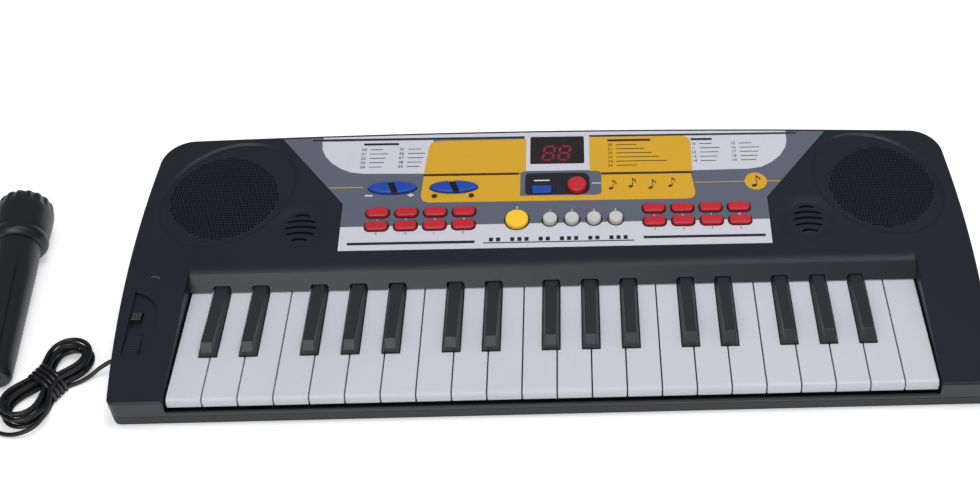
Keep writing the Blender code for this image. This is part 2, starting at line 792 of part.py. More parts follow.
def make_top_case():
    tall = 2 * surface_z(-front_y)
    case = plate("top_case", case_outline(), parting_z + running_gap / 2, tall, case_plastic)
    bm = bmesh.new()
    bm.from_mesh(case.data)
    place = case.matrix_world.inverted()
    normal = Vector((0, -math.sin(top_slope), math.cos(top_slope)))
    geometry = list(bm.verts) + list(bm.edges) + list(bm.faces)
    cut = bmesh.ops.bisect_plane(bm, geom=geometry, plane_co=place @ Vector((0, front_y, top_front_z)),
                                 plane_no=normal, clear_outer=True)
    rim = [item for item in cut["geom_cut"] if isinstance(item, bmesh.types.BMEdge)]
    lid = bmesh.ops.contextual_create(bm, geom=rim)["faces"]
    rim = [edge for face in lid for edge in face.edges]
    bmesh.ops.bevel(bm, geom=rim, offset=rim_round, segments=2, profile=0.5, affect="EDGES", material=-1)
    bmesh.ops.recalc_face_normals(bm, faces=bm.faces)
    bm.to_mesh(case.data)
    bm.free()

    foot_y, foot_z, lean, high = well_profile()
    low = parting_z - 0.002
    far = 3 * front_y
    rail_y = front_y + front_rail_wall
    skin = ridge_wall * math.sqrt(1 + lean ** 2)
    keep = cross_plate("well_surround", [(far, low), (far, high), (foot_y + lean * (high - foot_z) + skin, high),
                                         (foot_y + skin, foot_z), (foot_y + skin, low)],
                       well_half + cheek_wall)
    cavity = plate("case_cavity", case_outline(case_wall), low, tall)
    bm = bmesh.new()
    bm.from_mesh(cavity.data)
    place = cavity.matrix_world.inverted()
    geometry = list(bm.verts) + list(bm.edges) + list(bm.faces)
    ceiling = surface @ Vector((0, 0, ceiling_level))
    cut = bmesh.ops.bisect_plane(bm, geom=geometry, plane_co=place @ ceiling, plane_no=normal,
                                 clear_outer=True)
    rim = [item for item in cut["geom_cut"] if isinstance(item, bmesh.types.BMEdge)]
    bmesh.ops.contextual_create(bm, geom=rim)
    bmesh.ops.recalc_face_normals(bm, faces=bm.faces)
    bm.to_mesh(cavity.data)
    bm.free()
    boolean(cavity, keep)
    well = cross_plate("key_well", [(rail_y, low), (rail_y, rail_top_z), (far, rail_top_z), (far, high),
                                    (foot_y + lean * (high - foot_z), high), (foot_y, foot_z),
                                    (foot_y + skin + 0.001, foot_z), (foot_y + skin + 0.001, low)],
                       well_half)
    boolean(case, cavity)
    boolean(case, well)

    notch_half = black_width / 2 + ridge_notch_gap
    notch_top = black_top_z(ridge_foot_setback) + ridge_notch_gap
    for gap, x in black_keys:
        notch = block("ridge_notch_%02d" % gap, (x - notch_half, foot_y - 0.004, foot_z - 0.002),
                      (x + notch_half, setback_y(hinge_setback) - 0.002, notch_top))
        boolean(case, notch)

    # The rib that keeps the key hinges in their rail
    rib = block("hinge_keeper", (-key_half, setback_y(hinge_setback) - 0.0015,
                                 hinge_z + hinge_radius + running_gap),
                (key_half, setback_y(hinge_setback) + 0.0015, surface_z(setback_y(hinge_setback)) - top_wall / 2))
    boolean(case, rib, "UNION")

    seat = plate("panel_seat", grown_panel_outline(running_gap), recess_level, 0.004, None, surface)
    boolean(case, seat)
    for name in button_groups:
        x0, y0, x1, y1 = group_bounds(name, button_clearance + window_margin)
        boolean(case, block("window_" + name, (x0, y0, 2 * ceiling_level), (x1, y1, 0), None, surface))
    x0, y0, x1, y1 = bounds_of(display_outline(), -display_ledge)
    boolean(case, block("window_display", (x0, y0, 2 * ceiling_level), (x1, y1, 0), None, surface))

    for side in (-1, 1):
        tag = "left" if side < 0 else "right"
        boolean(case, speaker_recess(side, tag))
        place = on_surface(side * vent_x, vent_setback)
        vent = frustum("vent_" + tag, vent_floor_radius, 2 * vent_radius - vent_floor_radius,
                       -vent_depth, vent_depth, 20, None, place)
        boolean(case, vent)
        for index in range(vent_slots):
            offset = (index - (vent_slots - 1) / 2) * vent_slot_step
            outline = vent_slot_outline(offset)
            boolean(case, plate("vent_slot_%s_%d" % (tag, index), outline, 2 * ceiling_level, 0, None, place))

    place = on_surface(switch_x, switch_setback)
    recess = [(-recess_left, -recess_front), (recess_right * 0.80, -recess_front),
              (recess_right * 0.93, -recess_front * 0.62), (recess_right, -recess_front * 0.28),
              (recess_right * 0.90, recess_rear * 0.20), (recess_right * 0.58, recess_rear * 0.62),
              (-recess_left, recess_rear)]
    boolean(case, plate("switch_recess", recess, -recess_depth, 0.004, None, place))
    slot_half = knob_width / 2 + switch_slot_gap
    boolean(case, block("switch_slot", (-slot_half, -knob_length / 2 - switch_travel - switch_slot_gap,
                                        2 * ceiling_level),
                        (slot_half, knob_length / 2 + switch_slot_gap, 0), None, place))

    boolean(case, cord_hole())
    for number, (x, setback) in enumerate(boss_places()):
        y = setback_y(setback)
        boss = frustum("top_boss_%d" % number, boss_radius, boss_radius, boss_split_z + running_gap,
                       surface_z(y) - top_wall / 2, 8, None, Matrix.Translation((x, y, 0)))
        boolean(case, boss, "UNION")
    for number, (x, y) in enumerate(board_boss_places()):
        place = surface @ Matrix.Translation((x, y, 0))
        boss = frustum("board_boss_%d" % number, board_boss_radius, board_boss_radius,
                       board_top + running_gap, ceiling_level + 0.001, 8, None, place)
        boolean(case, boss, "UNION")
    return case


def boss_places():
    return [(-boss_x, boss_front_setback), (boss_x, boss_front_setback), (-boss_x, boss_rear_setback),
            (boss_x, boss_rear_setback), (-boss_middle_x, boss_middle_setback),
            (boss_middle_x, boss_middle_setback)]


def board_boss_places():
    inset = board_boss_radius + 0.001
    low, high = up_slope(board_front_setback) + inset, up_slope(board_rear_setback) - inset
    return [(side * (board_half_width - inset), y) for side in (-1, 1) for y in (low, high)]


def cord_hole():
    radius = cord_diameter / 2 + cord_hole_gap
    place = Matrix.Translation((-case_half_front, setback_y(cord_exit_setback), parting_z))
    place = place @ Matrix.Rotation(math.pi / 2, 4, "Y")
    hole = frustum("cord_hole_%d" % len(cutters.objects), radius, radius, -0.012, 0.012, 12, None, place)
    return hole


def make_bottom_case():
    case = plate("bottom_case", case_outline(), 0, parting_z - running_gap / 2, base_plastic)
    tray = plate("tray_hollow", case_outline(case_wall), floor_thickness, 2 * parting_z)
    boolean(case, tray)
    rail_half = key_half - key_gap
    rail_y = setback_y(hinge_setback)
    solids = [block("hinge_rail", (-rail_half, rail_y - hinge_rail_depth / 2, floor_thickness / 2),
                    (rail_half, rail_y + hinge_rail_depth / 2, hinge_z - hinge_radius - running_gap)),
              block("stop_rail", (-rail_half, setback_y(stop_rail_setback), floor_thickness / 2),
                    (rail_half, setback_y(stop_rail_setback) + stop_rail_depth, stop_rail_z))]
    for number, setback in enumerate((contact_front_setback, contact_rear_setback - contact_rib)):
        y = setback_y(setback)
        solids.append(block("contact_rib_%d" % number, (-contact_half_width, y, floor_thickness / 2),
                            (contact_half_width, y + contact_rib, contact_underside_z - running_gap)))
    for number, (x, setback) in enumerate(boss_places()):
        place = Matrix.Translation((x, setback_y(setback), 0))
        solids.append(frustum("bottom_boss_%d" % number, boss_radius, boss_radius, floor_thickness / 2,
                              boss_split_z, 8, None, place))
    for number, setback in enumerate((foot_front_setback, foot_rear_setback)):
        for side in (-1, 1):
            place = Matrix.Translation((side * foot_x, setback_y(setback), 0))
            solids.append(frustum("foot_%d_%d" % (number, side), foot_radius * 0.85, foot_radius,
                                  -foot_height, floor_thickness / 2, 12, None, place))
    bay_y = setback_y(bay_setback)
    outer = (bay_width / 2 + bay_wall, bay_length / 2 + bay_wall)
    solids.append(block("bay_box", (-outer[0], bay_y - outer[1], floor_thickness / 2),
                        (outer[0], bay_y + outer[1], bay_depth + bay_wall)))
    for solid in solids:
        boolean(case, solid, "UNION")
    bay = block("bay_hollow", (-bay_width / 2, bay_y - bay_length / 2, -0.001),
                (bay_width / 2, bay_y + bay_length / 2, bay_depth))
    boolean(case, bay)
    boolean(case, cord_hole())

    half_width = bay_width / 2 - running_gap
    half_length = bay_length / 2 - running_gap
    cover = block("battery_cover", (-half_width, 0, 0), (half_width, 2 * half_length, cover_thickness),
                  base_plastic, Matrix.Translation((0, bay_y - half_length, 0)))
    grip = block("cover_grip", (-cover_grip_width / 2, bay_y + half_length * 0.55, -0.001),
                 (cover_grip_width / 2, bay_y + half_length * 0.80, cover_grip_depth))
    boolean(cover, grip)
    return case


def make_boards():
    front, rear = setback_y(contact_front_setback), setback_y(contact_rear_setback)
    contact = block("contact_board", (-contact_half_width, front, contact_underside_z),
                    (contact_half_width, rear, contact_top_z), board_laminate)
    dome_y = setback_y(dome_front_setback)
    domes = block("dome_strip", (-contact_half_width, dome_y, contact_top_z - board_thickness / 2),
                  (contact_half_width, dome_y + dome_width, dome_top_z))
    boolean(contact, domes, "UNION")
    low, high = up_slope(board_front_setback), up_slope(board_rear_setback)
    board = block("main_board", (-board_half_width, low, board_bottom), (board_half_width, high, board_top),
                  board_laminate, surface)
    x0, y0, x1, y1 = bounds_of(display_outline(), -display_ledge - window_margin)
    digits = block("digit_module", (x0, y0, board_top - 0.0004), (x1, y1, recess_level - running_gap),
                   None, surface)
    boolean(board, digits, "UNION")


def make_speakers():
    """A round loudspeaker below each dish: flange, basket and magnet, turned about its axis."""
    top = ceiling_level - running_gap
    profile = [(0.0, top - 0.004), (speaker_radius * 0.72, top - 0.0012), (speaker_radius * 0.80, top),
               (speaker_radius, top), (speaker_radius, top - 0.0018), (speaker_radius * 0.88, top - 0.0022),
               (magnet_radius, top - speaker_depth + magnet_height), (magnet_radius, top - speaker_depth),
               (0.0, top - speaker_depth)]
    for side in (-1, 1):
        tag = "left" if side < 0 else "right"
        turned("speaker_" + tag, profile, 20, speaker_steel, on_surface(side * speaker_x, speaker_setback))


def strip(name, group, faces, material, origin, web_half=None):
    """Buttons on one strip: each face is an outline and its height above the panel."""
    x0, y0, x1, y1 = group_bounds(group, button_clearance + window_margin + web_margin)
    if web_half is not None:
        x0, x1 = origin[0] - web_half, origin[0] + web_half
    place = surface @ Matrix.Translation((origin[0], origin[1], 0))
    web = block(name, (x0 - origin[0], y0 - origin[1], web_bottom),
                (x1 - origin[0], y1 - origin[1], web_top), material, place)
    for number, (outline, height) in enumerate(faces):
        local = [(x - origin[0], y - origin[1]) for x, y in outline]
        cap = plate("%s_cap_%d" % (name, number), local, web_bottom + button_web / 2, height, None, place)
        bm = bmesh.new()
        bm.from_mesh(cap.data)
        high = max(vertex.co.z for vertex in bm.verts)
        rim = [edge for edge in bm.edges if all(vertex.co.z > high - 1e-6 for vertex in edge.verts)]
        bmesh.ops.bevel(bm, geom=rim, offset=0.0006, segments=1, profile=0.5, affect="EDGES", material=-1)
        bm.to_mesh(cap.data)
        bm.free()
        boolean(web, cap, "UNION")
    return web


def make_buttons():
    for side, middle_x in red_places.items():
        faces = [(red_outline(centre), red_size[2]) for centre in red_centres(middle_x)]
        strip("red_buttons_" + side, side, faces, red_plastic, (middle_x, up_slope(red_setback)))
    faces = [(round_outline(centre, silver_radius), silver_height) for centre in silver_centres()]
    strip("grey_buttons", "silver", faces, grey_plastic, (silver_x, up_slope(silver_setback)))
    centre = (drum_x, up_slope(drum_setback))
    strip("drum_button", "drum", [(round_outline(centre, drum_radius), drum_height)], yellow_plastic, centre)
    centre = (stop_x, up_slope(stop_setback))
    strip("stop_button", "stop", [(round_outline(centre, stop_radius), stop_height)], red_plastic, centre)
    centre = (demo_x, up_slope(demo_setback))
    strip("demo_button", "demo", [(demo_outline(), demo_size[2])], blue_plastic, centre)
    for name, x in (("volume", volume_x), ("tempo", tempo_x)):
        centre = (x, up_slope(rocker_setback))
        rocker = strip(name + "_rocker", name, [(rocker_outline(x), rocker_height)], blue_plastic,
                       centre, rocker_web_half)
        place = surface @ Matrix.Translation((centre[0], centre[1], 0))
        place = place @ Matrix.Rotation(rocker_notch_slant, 4, "Z")
        notch = block(name + "_notch", (-rocker_notch / 2, -rocker_depth, 0.0002),
                      (rocker_notch / 2, rocker_depth, 2 * rocker_height), None, place)
        boolean(rocker, notch)


def make_switch():
    place = on_surface(switch_x, switch_setback)
    half = knob_width / 2
    knob = block("power_switch", (-half, -knob_length / 2, web_bottom + switch_flange / 2),
                 (half, knob_length / 2, knob_proud), case_plastic, place)
    reach = switch_travel + switch_slot_gap + 0.001
    flange = block("switch_flange", (-half - 0.002, -knob_length / 2 - reach, web_top - switch_flange),
                   (half + 0.002, knob_length / 2 + reach, web_top), None, place)
    boolean(knob, flange, "UNION")


def mic_frame():
    """Frame of the microphone: its own Z runs from the tail to the head, lying on the table."""
    rise = mic_head_radius - mic_tail_radius
    tilt = math.asin(rise / mic_head_at)
    height = table_z + mic_table_gap + mic_tail_radius / math.cos(tilt)
    tail = Vector((mic_tail_x, setback_y(mic_tail_setback), height))
    return (Matrix.Translation(tail) @ Matrix.Rotation(mic_lean, 4, "Z")
            @ Matrix.Rotation(tilt - math.pi / 2, 4, "X"))


def make_microphone():
    place = mic_frame()
    neck = mic_neck_at
    handle = [(0.0, neck), (mic_neck_radius, neck), (mic_neck_radius, neck - 0.010),
              (mic_tail_radius, 0.002), (mic_tail_radius - 0.0015, 0.0), (mic_boot_radius, 0.0),
              (mic_boot_radius * 0.7, -mic_boot_length), (0.0, -mic_boot_length)]
    turned("mic_handle", handle, 20, mic_plastic, place)
    start = neck + running_gap
    head = [(0.0, mic_length), (mic_rim_radius * 0.55, mic_length - 0.0012),
            (mic_rim_radius, mic_rim_at), (mic_head_radius, mic_rim_at - 0.008),
            (mic_head_radius, mic_head_at), (mic_head_radius - 0.0012, mic_head_at - 0.0015),
            (mic_head_radius - 0.0012, mic_head_at - 0.006), (mic_neck_radius + 0.0012, start + 0.003),
            (mic_neck_radius, start), (0.0, start)]
    obj = turned("mic_head", head, 2 * mic_flutes, mic_plastic, place)
    for vertex in obj.data.vertices:
        radius = math.hypot(vertex.co.x, vertex.co.y)
        step = round(math.atan2(vertex.co.y, vertex.co.x) / (math.pi / mic_flutes))
        fluted = radius > 0.001 and mic_rim_at - 0.0085 < vertex.co.z < mic_length - 0.002
        if fluted and step % 2:
            share = 1 - mic_flute_depth / radius
            vertex.co.x *= share
            vertex.co.y *= share


def hank_point(turns):
    """Place on the hank's centre line after a number of turns, in the hank's own frame."""
    inner = hank_fold_diameters * cord_diameter
    outer = inner + hank_loops_per_layer * hank_step
    straight = hank_length / 2 - outer - cord_diameter / 2
    within = turns / hank_loops_per_layer
    layer = min(int(within), hank_layers - 1)
    share = within - layer
    spiral = 1 - share if layer % 2 == 0 else share
    radius = inner + spiral * hank_loops_per_layer * hank_step
    # Height: level in a layer, climbing in the half turn round each reversal
    height = 0.0
    for climb in range(1, hank_layers):
        rise = (turns - climb * hank_loops_per_layer) / 0.5 + 0.5
        rise = min(max(rise, 0.0), 1.0)
        height += hank_layer_step * rise * rise * (3 - 2 * rise)
    # Round the loop from the middle of the right run: each run takes a quarter turn, each fold too
    part = (turns % 1.0) * 8
    if part < 1:
        along, across = -straight * part, radius
    elif part < 3:
        angle = (part - 1) * math.pi / 2
        along, across = -straight - radius * math.sin(angle), radius * math.cos(angle)
    elif part < 5:
        along, across = straight * (part - 4), -radius
    elif part < 7:
        angle = (part - 5) * math.pi / 2
        along, across = straight + radius * math.sin(angle), -radius * math.cos(angle)
    else:
        along, across = straight * (8 - part), radius
    if abs(along) < straight:
        pinch = hank_waist * math.cos(math.pi * along / (2 * straight)) ** 2
        across -= math.copysign(pinch, across)
    return Vector((across, along, height))


def hank_frame():
    height = table_z + table_clearance + cord_diameter / 2
    return (Matrix.Translation((hank_x, setback_y(hank_setback), height))
            @ Matrix.Rotation(hank_turn - math.pi / 2, 4, "Z"))


def hank_route():
    """Centre line of the hank in its own frame, each end splayed outward for a straight diameter."""
    total = hank_layers * hank_loops_per_layer
    count = int(total * points_per_loop)
    points = [hank_point(total * index / count) for index in range(count + 1)]
    splay = Vector((hank_end_splay, 1, 0)).normalized() * cord_diameter
    return ([points[0] + splay] + points
            + [points[-1] + Vector((splay.x, -splay.y, 0))])


def least_gap(points, diameter, skip):
    """Smallest daylight between parts of one line that are not neighbours, read on its segments."""
    fine = []
    for first, second in zip(points, points[1:]):
        fine += [first.lerp(second, step / 3) for step in range(3)]
    best = 1.0
    for index, here in enumerate(fine):
        for there in fine[index + skip:]:
            best = min(best, (here - there).length)
    return best - diameter


def smooth_route(chosen, spacing):
    """A smooth curve through chosen points, read at an even spacing."""
    ends = [chosen[0] * 2 - chosen[1]] + chosen + [chosen[-1] * 2 - chosen[-2]]
    fine = []
    for index in range(1, len(ends) - 2):
        a, b, c, d = ends[index - 1:index + 3]
        for step in range(24):
            t = step / 24
            fine.append(((2 * b) + (c - a) * t + (2 * a - 5 * b + 4 * c - d) * t * t
                         + (3 * b - a - 3 * c + d) * t ** 3) / 2)
    fine.append(ends[-2])
    lengths = [0.0]
    for first, second in zip(fine, fine[1:]):
        lengths.append(lengths[-1] + (second - first).length)
    count = max(2, round(lengths[-1] / spacing))
    points = []
    index = 0
    for step in range(count + 1):
        target = lengths[-1] * step / count
        while index < len(lengths) - 2 and lengths[index + 1] < target:
            index += 1
        span = lengths[index + 1] - lengths[index]
        share = (target - lengths[index]) / span if span else 0.0
        points.append(fine[index].lerp(fine[index + 1], min(share, 1.0)))
    return points


def tube(name, points, resolution, material):
    curve = bpy.data.curves.new(name, "CURVE")
    curve.dimensions = "3D"
    curve.bevel_depth = cord_diameter / 2
    curve.bevel_resolution = resolution
    curve.use_fill_caps = True
    spline = curve.splines.new("POLY")
    spline.points.add(len(points) - 1)
    for point, place in zip(spline.points, points):
        point.co = (*place, 1)
    obj = bpy.data.objects.new(name, curve)
    return link(obj, material)


def route_length(points):
    return sum((second - first).length for first, second in zip(points, points[1:]))


def make_cord():
    frame = hank_frame()
    hank = hank_route()
    meet = cord_diameter + running_gap
    line_z = table_z + table_clearance + cord_diameter / 2
    exit_rise = parting_z - line_z

    # From inside the case, out at the parting line and down to the hank's lowest loop
    out = frame.inverted().to_3x3() @ Vector((-1, 0, 0))
    case_side = -case_half_front - side_bow
    leave = frame.inverted() @ Vector((case_side, setback_y(cord_exit_setback), parting_z))
    ahead = (hank[0] - hank[1]).normalized()
    start = hank[0] + ahead * running_gap
    lead = [leave - out * 0.018, leave - out * 0.009, leave, leave + out * 0.004,
            Vector((0.0176, 0.0208, exit_rise * 0.60)), Vector((0.0151, 0.0158, exit_rise * 0.22)),
            Vector((0.0122, 0.0105, 0.0002)), start + ahead * meet, start]

    # From the hank's top loop, round its near fold on the table and up into the microphone
    onward = (hank[-1] - hank[-2]).normalized()
    finish = hank[-1] + onward * running_gap
    mic = frame.inverted() @ mic_frame()
    boot = mic @ Vector((0, 0, -mic_boot_length - running_gap))
    into = (mic.to_3x3() @ Vector((0, 0, -1))).normalized()
    tail = [finish, finish + onward * meet, Vector((0.0136, -0.0112, 0.0083)),
            Vector((0.0164, -0.0178, 0.0064)), Vector((0.0152, -0.0258, 0.0036)),
            Vector((0.0090, -0.0322, 0.0012)), Vector((0.0010, -0.0354, 0.0)),
            Vector((-0.0075, -0.0350, 0.0006)), boot + into * 0.008, boot + into * meet, boot]

    hank_points = [frame @ point for point in hank]
    lead_points = [frame @ point for point in smooth_route(lead, 2 * cord_diameter)]
    tail_points = [frame @ point for point in smooth_route(tail, 2 * cord_diameter)]
    tube("cord_lead", lead_points, 2, cord_vinyl)
    tube("cord_hank", hank_points, 1, cord_vinyl)
    tube("cord_tail", tail_points, 2, cord_vinyl)
    print("hank least gap to itself: %.2f mm" % (1000 * least_gap(hank, cord_diameter, 30)))
    print("cord length: lead %.0f, hank %.0f, tail %.0f mm" % tuple(
        1000 * route_length(points) for points in (lead_points, hank_points, tail_points)))


make_keys()
make_panel()
make_top_case()
make_bottom_case()
make_boards()
make_speakers()
make_buttons()
make_switch()
make_microphone()
make_cord()
print("parts:", len(parts.objects))
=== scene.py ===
import math

import bmesh
import bpy
from mathutils import Matrix, Vector


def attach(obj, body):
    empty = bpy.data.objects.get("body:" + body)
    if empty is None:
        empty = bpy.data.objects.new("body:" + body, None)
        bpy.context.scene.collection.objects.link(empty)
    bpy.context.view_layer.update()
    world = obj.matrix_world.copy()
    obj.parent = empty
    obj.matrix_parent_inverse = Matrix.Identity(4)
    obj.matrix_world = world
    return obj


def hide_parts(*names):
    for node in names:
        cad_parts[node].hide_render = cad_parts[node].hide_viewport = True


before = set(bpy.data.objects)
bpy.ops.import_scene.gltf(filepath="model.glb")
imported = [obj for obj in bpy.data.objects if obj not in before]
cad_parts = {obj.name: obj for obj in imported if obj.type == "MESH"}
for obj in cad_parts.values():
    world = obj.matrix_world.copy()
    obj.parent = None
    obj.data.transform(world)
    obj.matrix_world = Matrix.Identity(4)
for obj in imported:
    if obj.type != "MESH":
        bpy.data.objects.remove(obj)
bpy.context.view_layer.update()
print("frame loaded:", len(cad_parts), "nodes")

# Camera, fitted to the corners of the keys in the photograph (pixels of a 980 x 504 picture)
camera = {"width": 980, "height": 504, "sensor": 36, "focal": 1344.63, "centreX": 640.21,
          "centreY": 231.29, "elevation": 45.16, "yaw": -3.505, "roll": 1.419, "distance": 0.8118,
          "target": (0.0501, 0.0268, 0.0165)}


def newObject(name, data):
    holder = bpy.data.objects.new(name, data)
    bpy.context.scene.collection.objects.link(holder)
    return holder


def placeCamera():
    tilt, yaw, roll = (math.radians(camera[k]) for k in ("elevation", "yaw", "roll"))
    ahead = Vector((-math.sin(yaw) * math.cos(tilt), math.cos(yaw) * math.cos(tilt), -math.sin(tilt)))
    right = ahead.cross(Vector((0, 0, 1))).normalized()
    up = right.cross(ahead)
    side = right * math.cos(roll) + up * math.sin(roll)
    top = up * math.cos(roll) - right * math.sin(roll)
    lens = bpy.data.cameras.new("photoCamera")
    lens.sensor_width = camera["sensor"]
    lens.lens = camera["focal"] / camera["width"] * camera["sensor"]
    lens.shift_x = (camera["width"] / 2 - camera["centreX"]) / camera["width"]
    lens.shift_y = -(camera["height"] / 2 - camera["centreY"]) / camera["width"]
    lens.clip_start = 0.01
    place = Matrix((side, top, -ahead)).transposed().to_4x4()
    place.translation = Vector(camera["target"]) - ahead * camera["distance"]
    holder = newObject("photoCamera", lens)
    holder.matrix_world = place
    bpy.context.scene.camera = holder


placeCamera()

# Shared sizes, in metres; setbacks run back from the white keys' front edge
body = {"frontY": -0.0962, "keyFrontY": -0.0940, "halfFront": 0.2395, "halfRear": 0.2410, "sideBow": 0.0045,
        "rearBow": 0.0043, "cornerFront": 0.0045, "cornerRear": 0.020, "topFrontZ": 0.0179, "slope": 6.1,
        "partingZ": 0.006, "wellHalf": 0.2097, "tableZ": -0.0015, "gap": 0.0003}
slope = math.radians(body["slope"])
surface = Matrix.Translation((0, body["frontY"], body["topFrontZ"])) @ Matrix.Rotation(slope, 4, "X")
# An outline in these frames stands across X, or across Y
alongX = Matrix(((0, 0, 1, 0), (1, 0, 0, 0), (0, 1, 0, 0), (0, 0, 0, 1)))
alongY = Matrix(((1, 0, 0, 0), (0, 0, 1, 0), (0, 1, 0, 0), (0, 0, 0, 1)))


def setbackY(setback):
    return body["keyFrontY"] + setback


def upSlope(setback):
    return (setbackY(setback) - body["frontY"]) / math.cos(slope)


def onSurface(x, setback, lift=0.0):
    return surface @ Matrix.Translation((x, upSlope(setback), lift))


def surfaceZ(y):
    return body["topFrontZ"] + math.tan(slope) * (y - body["frontY"])


# Mesh helpers
def meshObject(name, bm):
    mesh = bpy.data.meshes.new(name)
    bmesh.ops.recalc_face_normals(bm, faces=bm.faces)
    bm.to_mesh(mesh)
    bm.free()
    return newObject(name, mesh)


def newPiece(name, bm, material, bodyName, replaced=(), smooth=False):
    piece = meshObject(name, bm)
    if smooth:
        piece.data.shade_smooth()
        piece.data.set_sharp_from_angle(angle=math.radians(32))
    else:
        piece.data.shade_flat()
    piece.data.materials.append(material)
    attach(piece, bodyName)
    if replaced:
        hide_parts(*replaced)


def prism(points, low, high, place=Matrix(), bm=None):
    # A flat outline pushed up from low to high, then put in its place
    bm = bm or bmesh.new()
    base = [bm.verts.new((x, y, low)) for x, y in points]
    face = bm.faces.new(base)
    grown = bmesh.ops.extrude_face_region(bm, geom=[face])["geom"]
    top = [v for v in grown if isinstance(v, bmesh.types.BMVert)]
    bmesh.ops.translate(bm, vec=(0, 0, high - low), verts=top)
    bmesh.ops.transform(bm, matrix=place, verts=base + top)
    return bm


def moved(bm, place):
    bmesh.ops.transform(bm, matrix=place, verts=bm.verts)
    return bm


def bevelled(bm, edges, width, segments):
    return bmesh.ops.bevel(bm, geom=edges, offset=width, segments=segments, profile=0.5, affect="EDGES",
                           material=-1, clamp_overlap=True)


def bevelTop(bm, width, segments, place):
    # Rounds the edges that lie in the highest plane of a piece made in the given frame
    turned = place.inverted()
    heights = {v: (turned @ v.co).z for v in bm.verts}
    high = max(heights.values())
    rim = [e for e in bm.edges if all(heights[v] > high - 1e-6 for v in e.verts)]
    bevelled(bm, rim, width, segments)
    return bm


def combined(bm, tools, operation="DIFFERENCE", weld=1e-6):
    # Cuts the tools out of a shape, or keeps what it shares with them
    base = meshObject("loose", bm)
    holders = [meshObject("loose", tool) for tool in tools]
    for holder in holders:
        step = base.modifiers.new("step", "BOOLEAN")
        step.operation, step.solver, step.object = operation, "EXACT", holder
    bpy.context.view_layer.update()
    shaped = bpy.data.meshes.new_from_object(base.evaluated_get(bpy.context.evaluated_depsgraph_get()))
    result = bmesh.new()
    result.from_mesh(shaped)
    bpy.data.meshes.remove(shaped)
    for holder in [base] + holders:
        mesh = holder.data
        bpy.data.objects.remove(holder)
        bpy.data.meshes.remove(mesh)
    bmesh.ops.remove_doubles(result, verts=result.verts, dist=weld)
    bmesh.ops.dissolve_limit(result, angle_limit=0.001, verts=result.verts, edges=result.edges)
    return result


def arc(centre, radius, start, end, steps):
    return [(centre[0] + radius * math.cos(math.radians(start + (end - start) * i / steps)),
             centre[1] + radius * math.sin(math.radians(start + (end - start) * i / steps)))
            for i in range(steps + 1)]


def roundedBox(width, depth, radius, steps, centre=(0, 0)):
    points = []
    for sx, sy, start in ((1, 1, 0), (-1, 1, 90), (-1, -1, 180), (1, -1, 270)):
        middle = (centre[0] + sx * (width / 2 - radius), centre[1] + sy * (depth / 2 - radius))
        points += arc(middle, radius, start, start + 90, steps)
    return points


def oval(width, depth, steps, centre=(0, 0)):
    return [(centre[0] + width / 2 * math.cos(2 * math.pi * i / steps),
             centre[1] + depth / 2 * math.sin(2 * math.pi * i / steps)) for i in range(steps)]


def box(low, high, place=Matrix(), bm=None):
    corners = [(low[0], low[1]), (high[0], low[1]), (high[0], high[1]), (low[0], high[1])]
    return prism(corners, low[2], high[2], place, bm)


def spun(profile, steps):
    # Turns a profile of (radius, height) pairs about its own Z
    bm = bmesh.new()
    line = [bm.verts.new((radius, 0, height)) for radius, height in profile]
    edges = [bm.edges.new(pair) for pair in zip(line, line[1:])]
    bmesh.ops.spin(bm, geom=line + edges, axis=(0, 0, 1), cent=(0, 0, 0), steps=steps,
                   angle=2 * math.pi, use_merge=True, use_duplicate=False)
    bmesh.ops.remove_doubles(bm, verts=bm.verts, dist=2e-6)
    bmesh.ops.recalc_face_normals(bm, faces=bm.faces)
    return bm


# Material helpers
def hexColour(text):
    values = [int(text[i:i + 2], 16) / 255 for i in (1, 3, 5)]
    return tuple(v / 12.92 if v <= 0.04045 else ((v + 0.055) / 1.055) ** 2.4 for v in values) + (1.0,)


def addNode(owner, kind, settings=None, links=None):
    node = owner.node_tree.nodes.new("ShaderNode" + kind)
    for name, value in (settings or {}).items():
        setattr(node, name, value)
    for name, value in (links or {}).items():
        if isinstance(value, bpy.types.NodeSocket):
            owner.node_tree.links.new(value, node.inputs[name])
        else:
            node.inputs[name].default_value = value
    return node


def newMaterial(name, roughness, ior=1.5):
    material = bpy.data.materials.new(name)
    material.use_nodes = True
    shader = material.node_tree.nodes["Principled BSDF"]
    shader.inputs["Roughness"].default_value = roughness
    shader.inputs["IOR"].default_value = ior
    return material, shader, addNode(material, "TexCoord").outputs["Object"]


def tinted(material, shader, pattern, first, second):
    # Base colour between two tones, mixed by a pattern
    tone = addNode(material, "Mix", {"data_type": "RGBA"}, {"Factor": pattern, 6: first, 7: second})
    material.node_tree.links.new(tone.outputs[2], shader.inputs["Base Color"])


def embossed(material, shader, pattern, strength, height):
    bump = addNode(material, "Bump", links={"Height": pattern, "Strength": strength, "Distance": height})
    material.node_tree.links.new(bump.outputs["Normal"], shader.inputs["Normal"])


def patterned(name, roughness, ior, kind, links, tones, output="Fac", settings=None, relief=None):
    # One pattern gives the two tones and, where relief is (strength, height in metres), a fine relief
    material, shader, place = newMaterial(name, roughness, ior)
    pattern = addNode(material, kind, settings, {"Vector": place, **links}).outputs[output]
    tinted(material, shader, pattern, *(hexColour(tone) for tone in tones))
    if relief:
        embossed(material, shader, pattern, *relief)
    return material


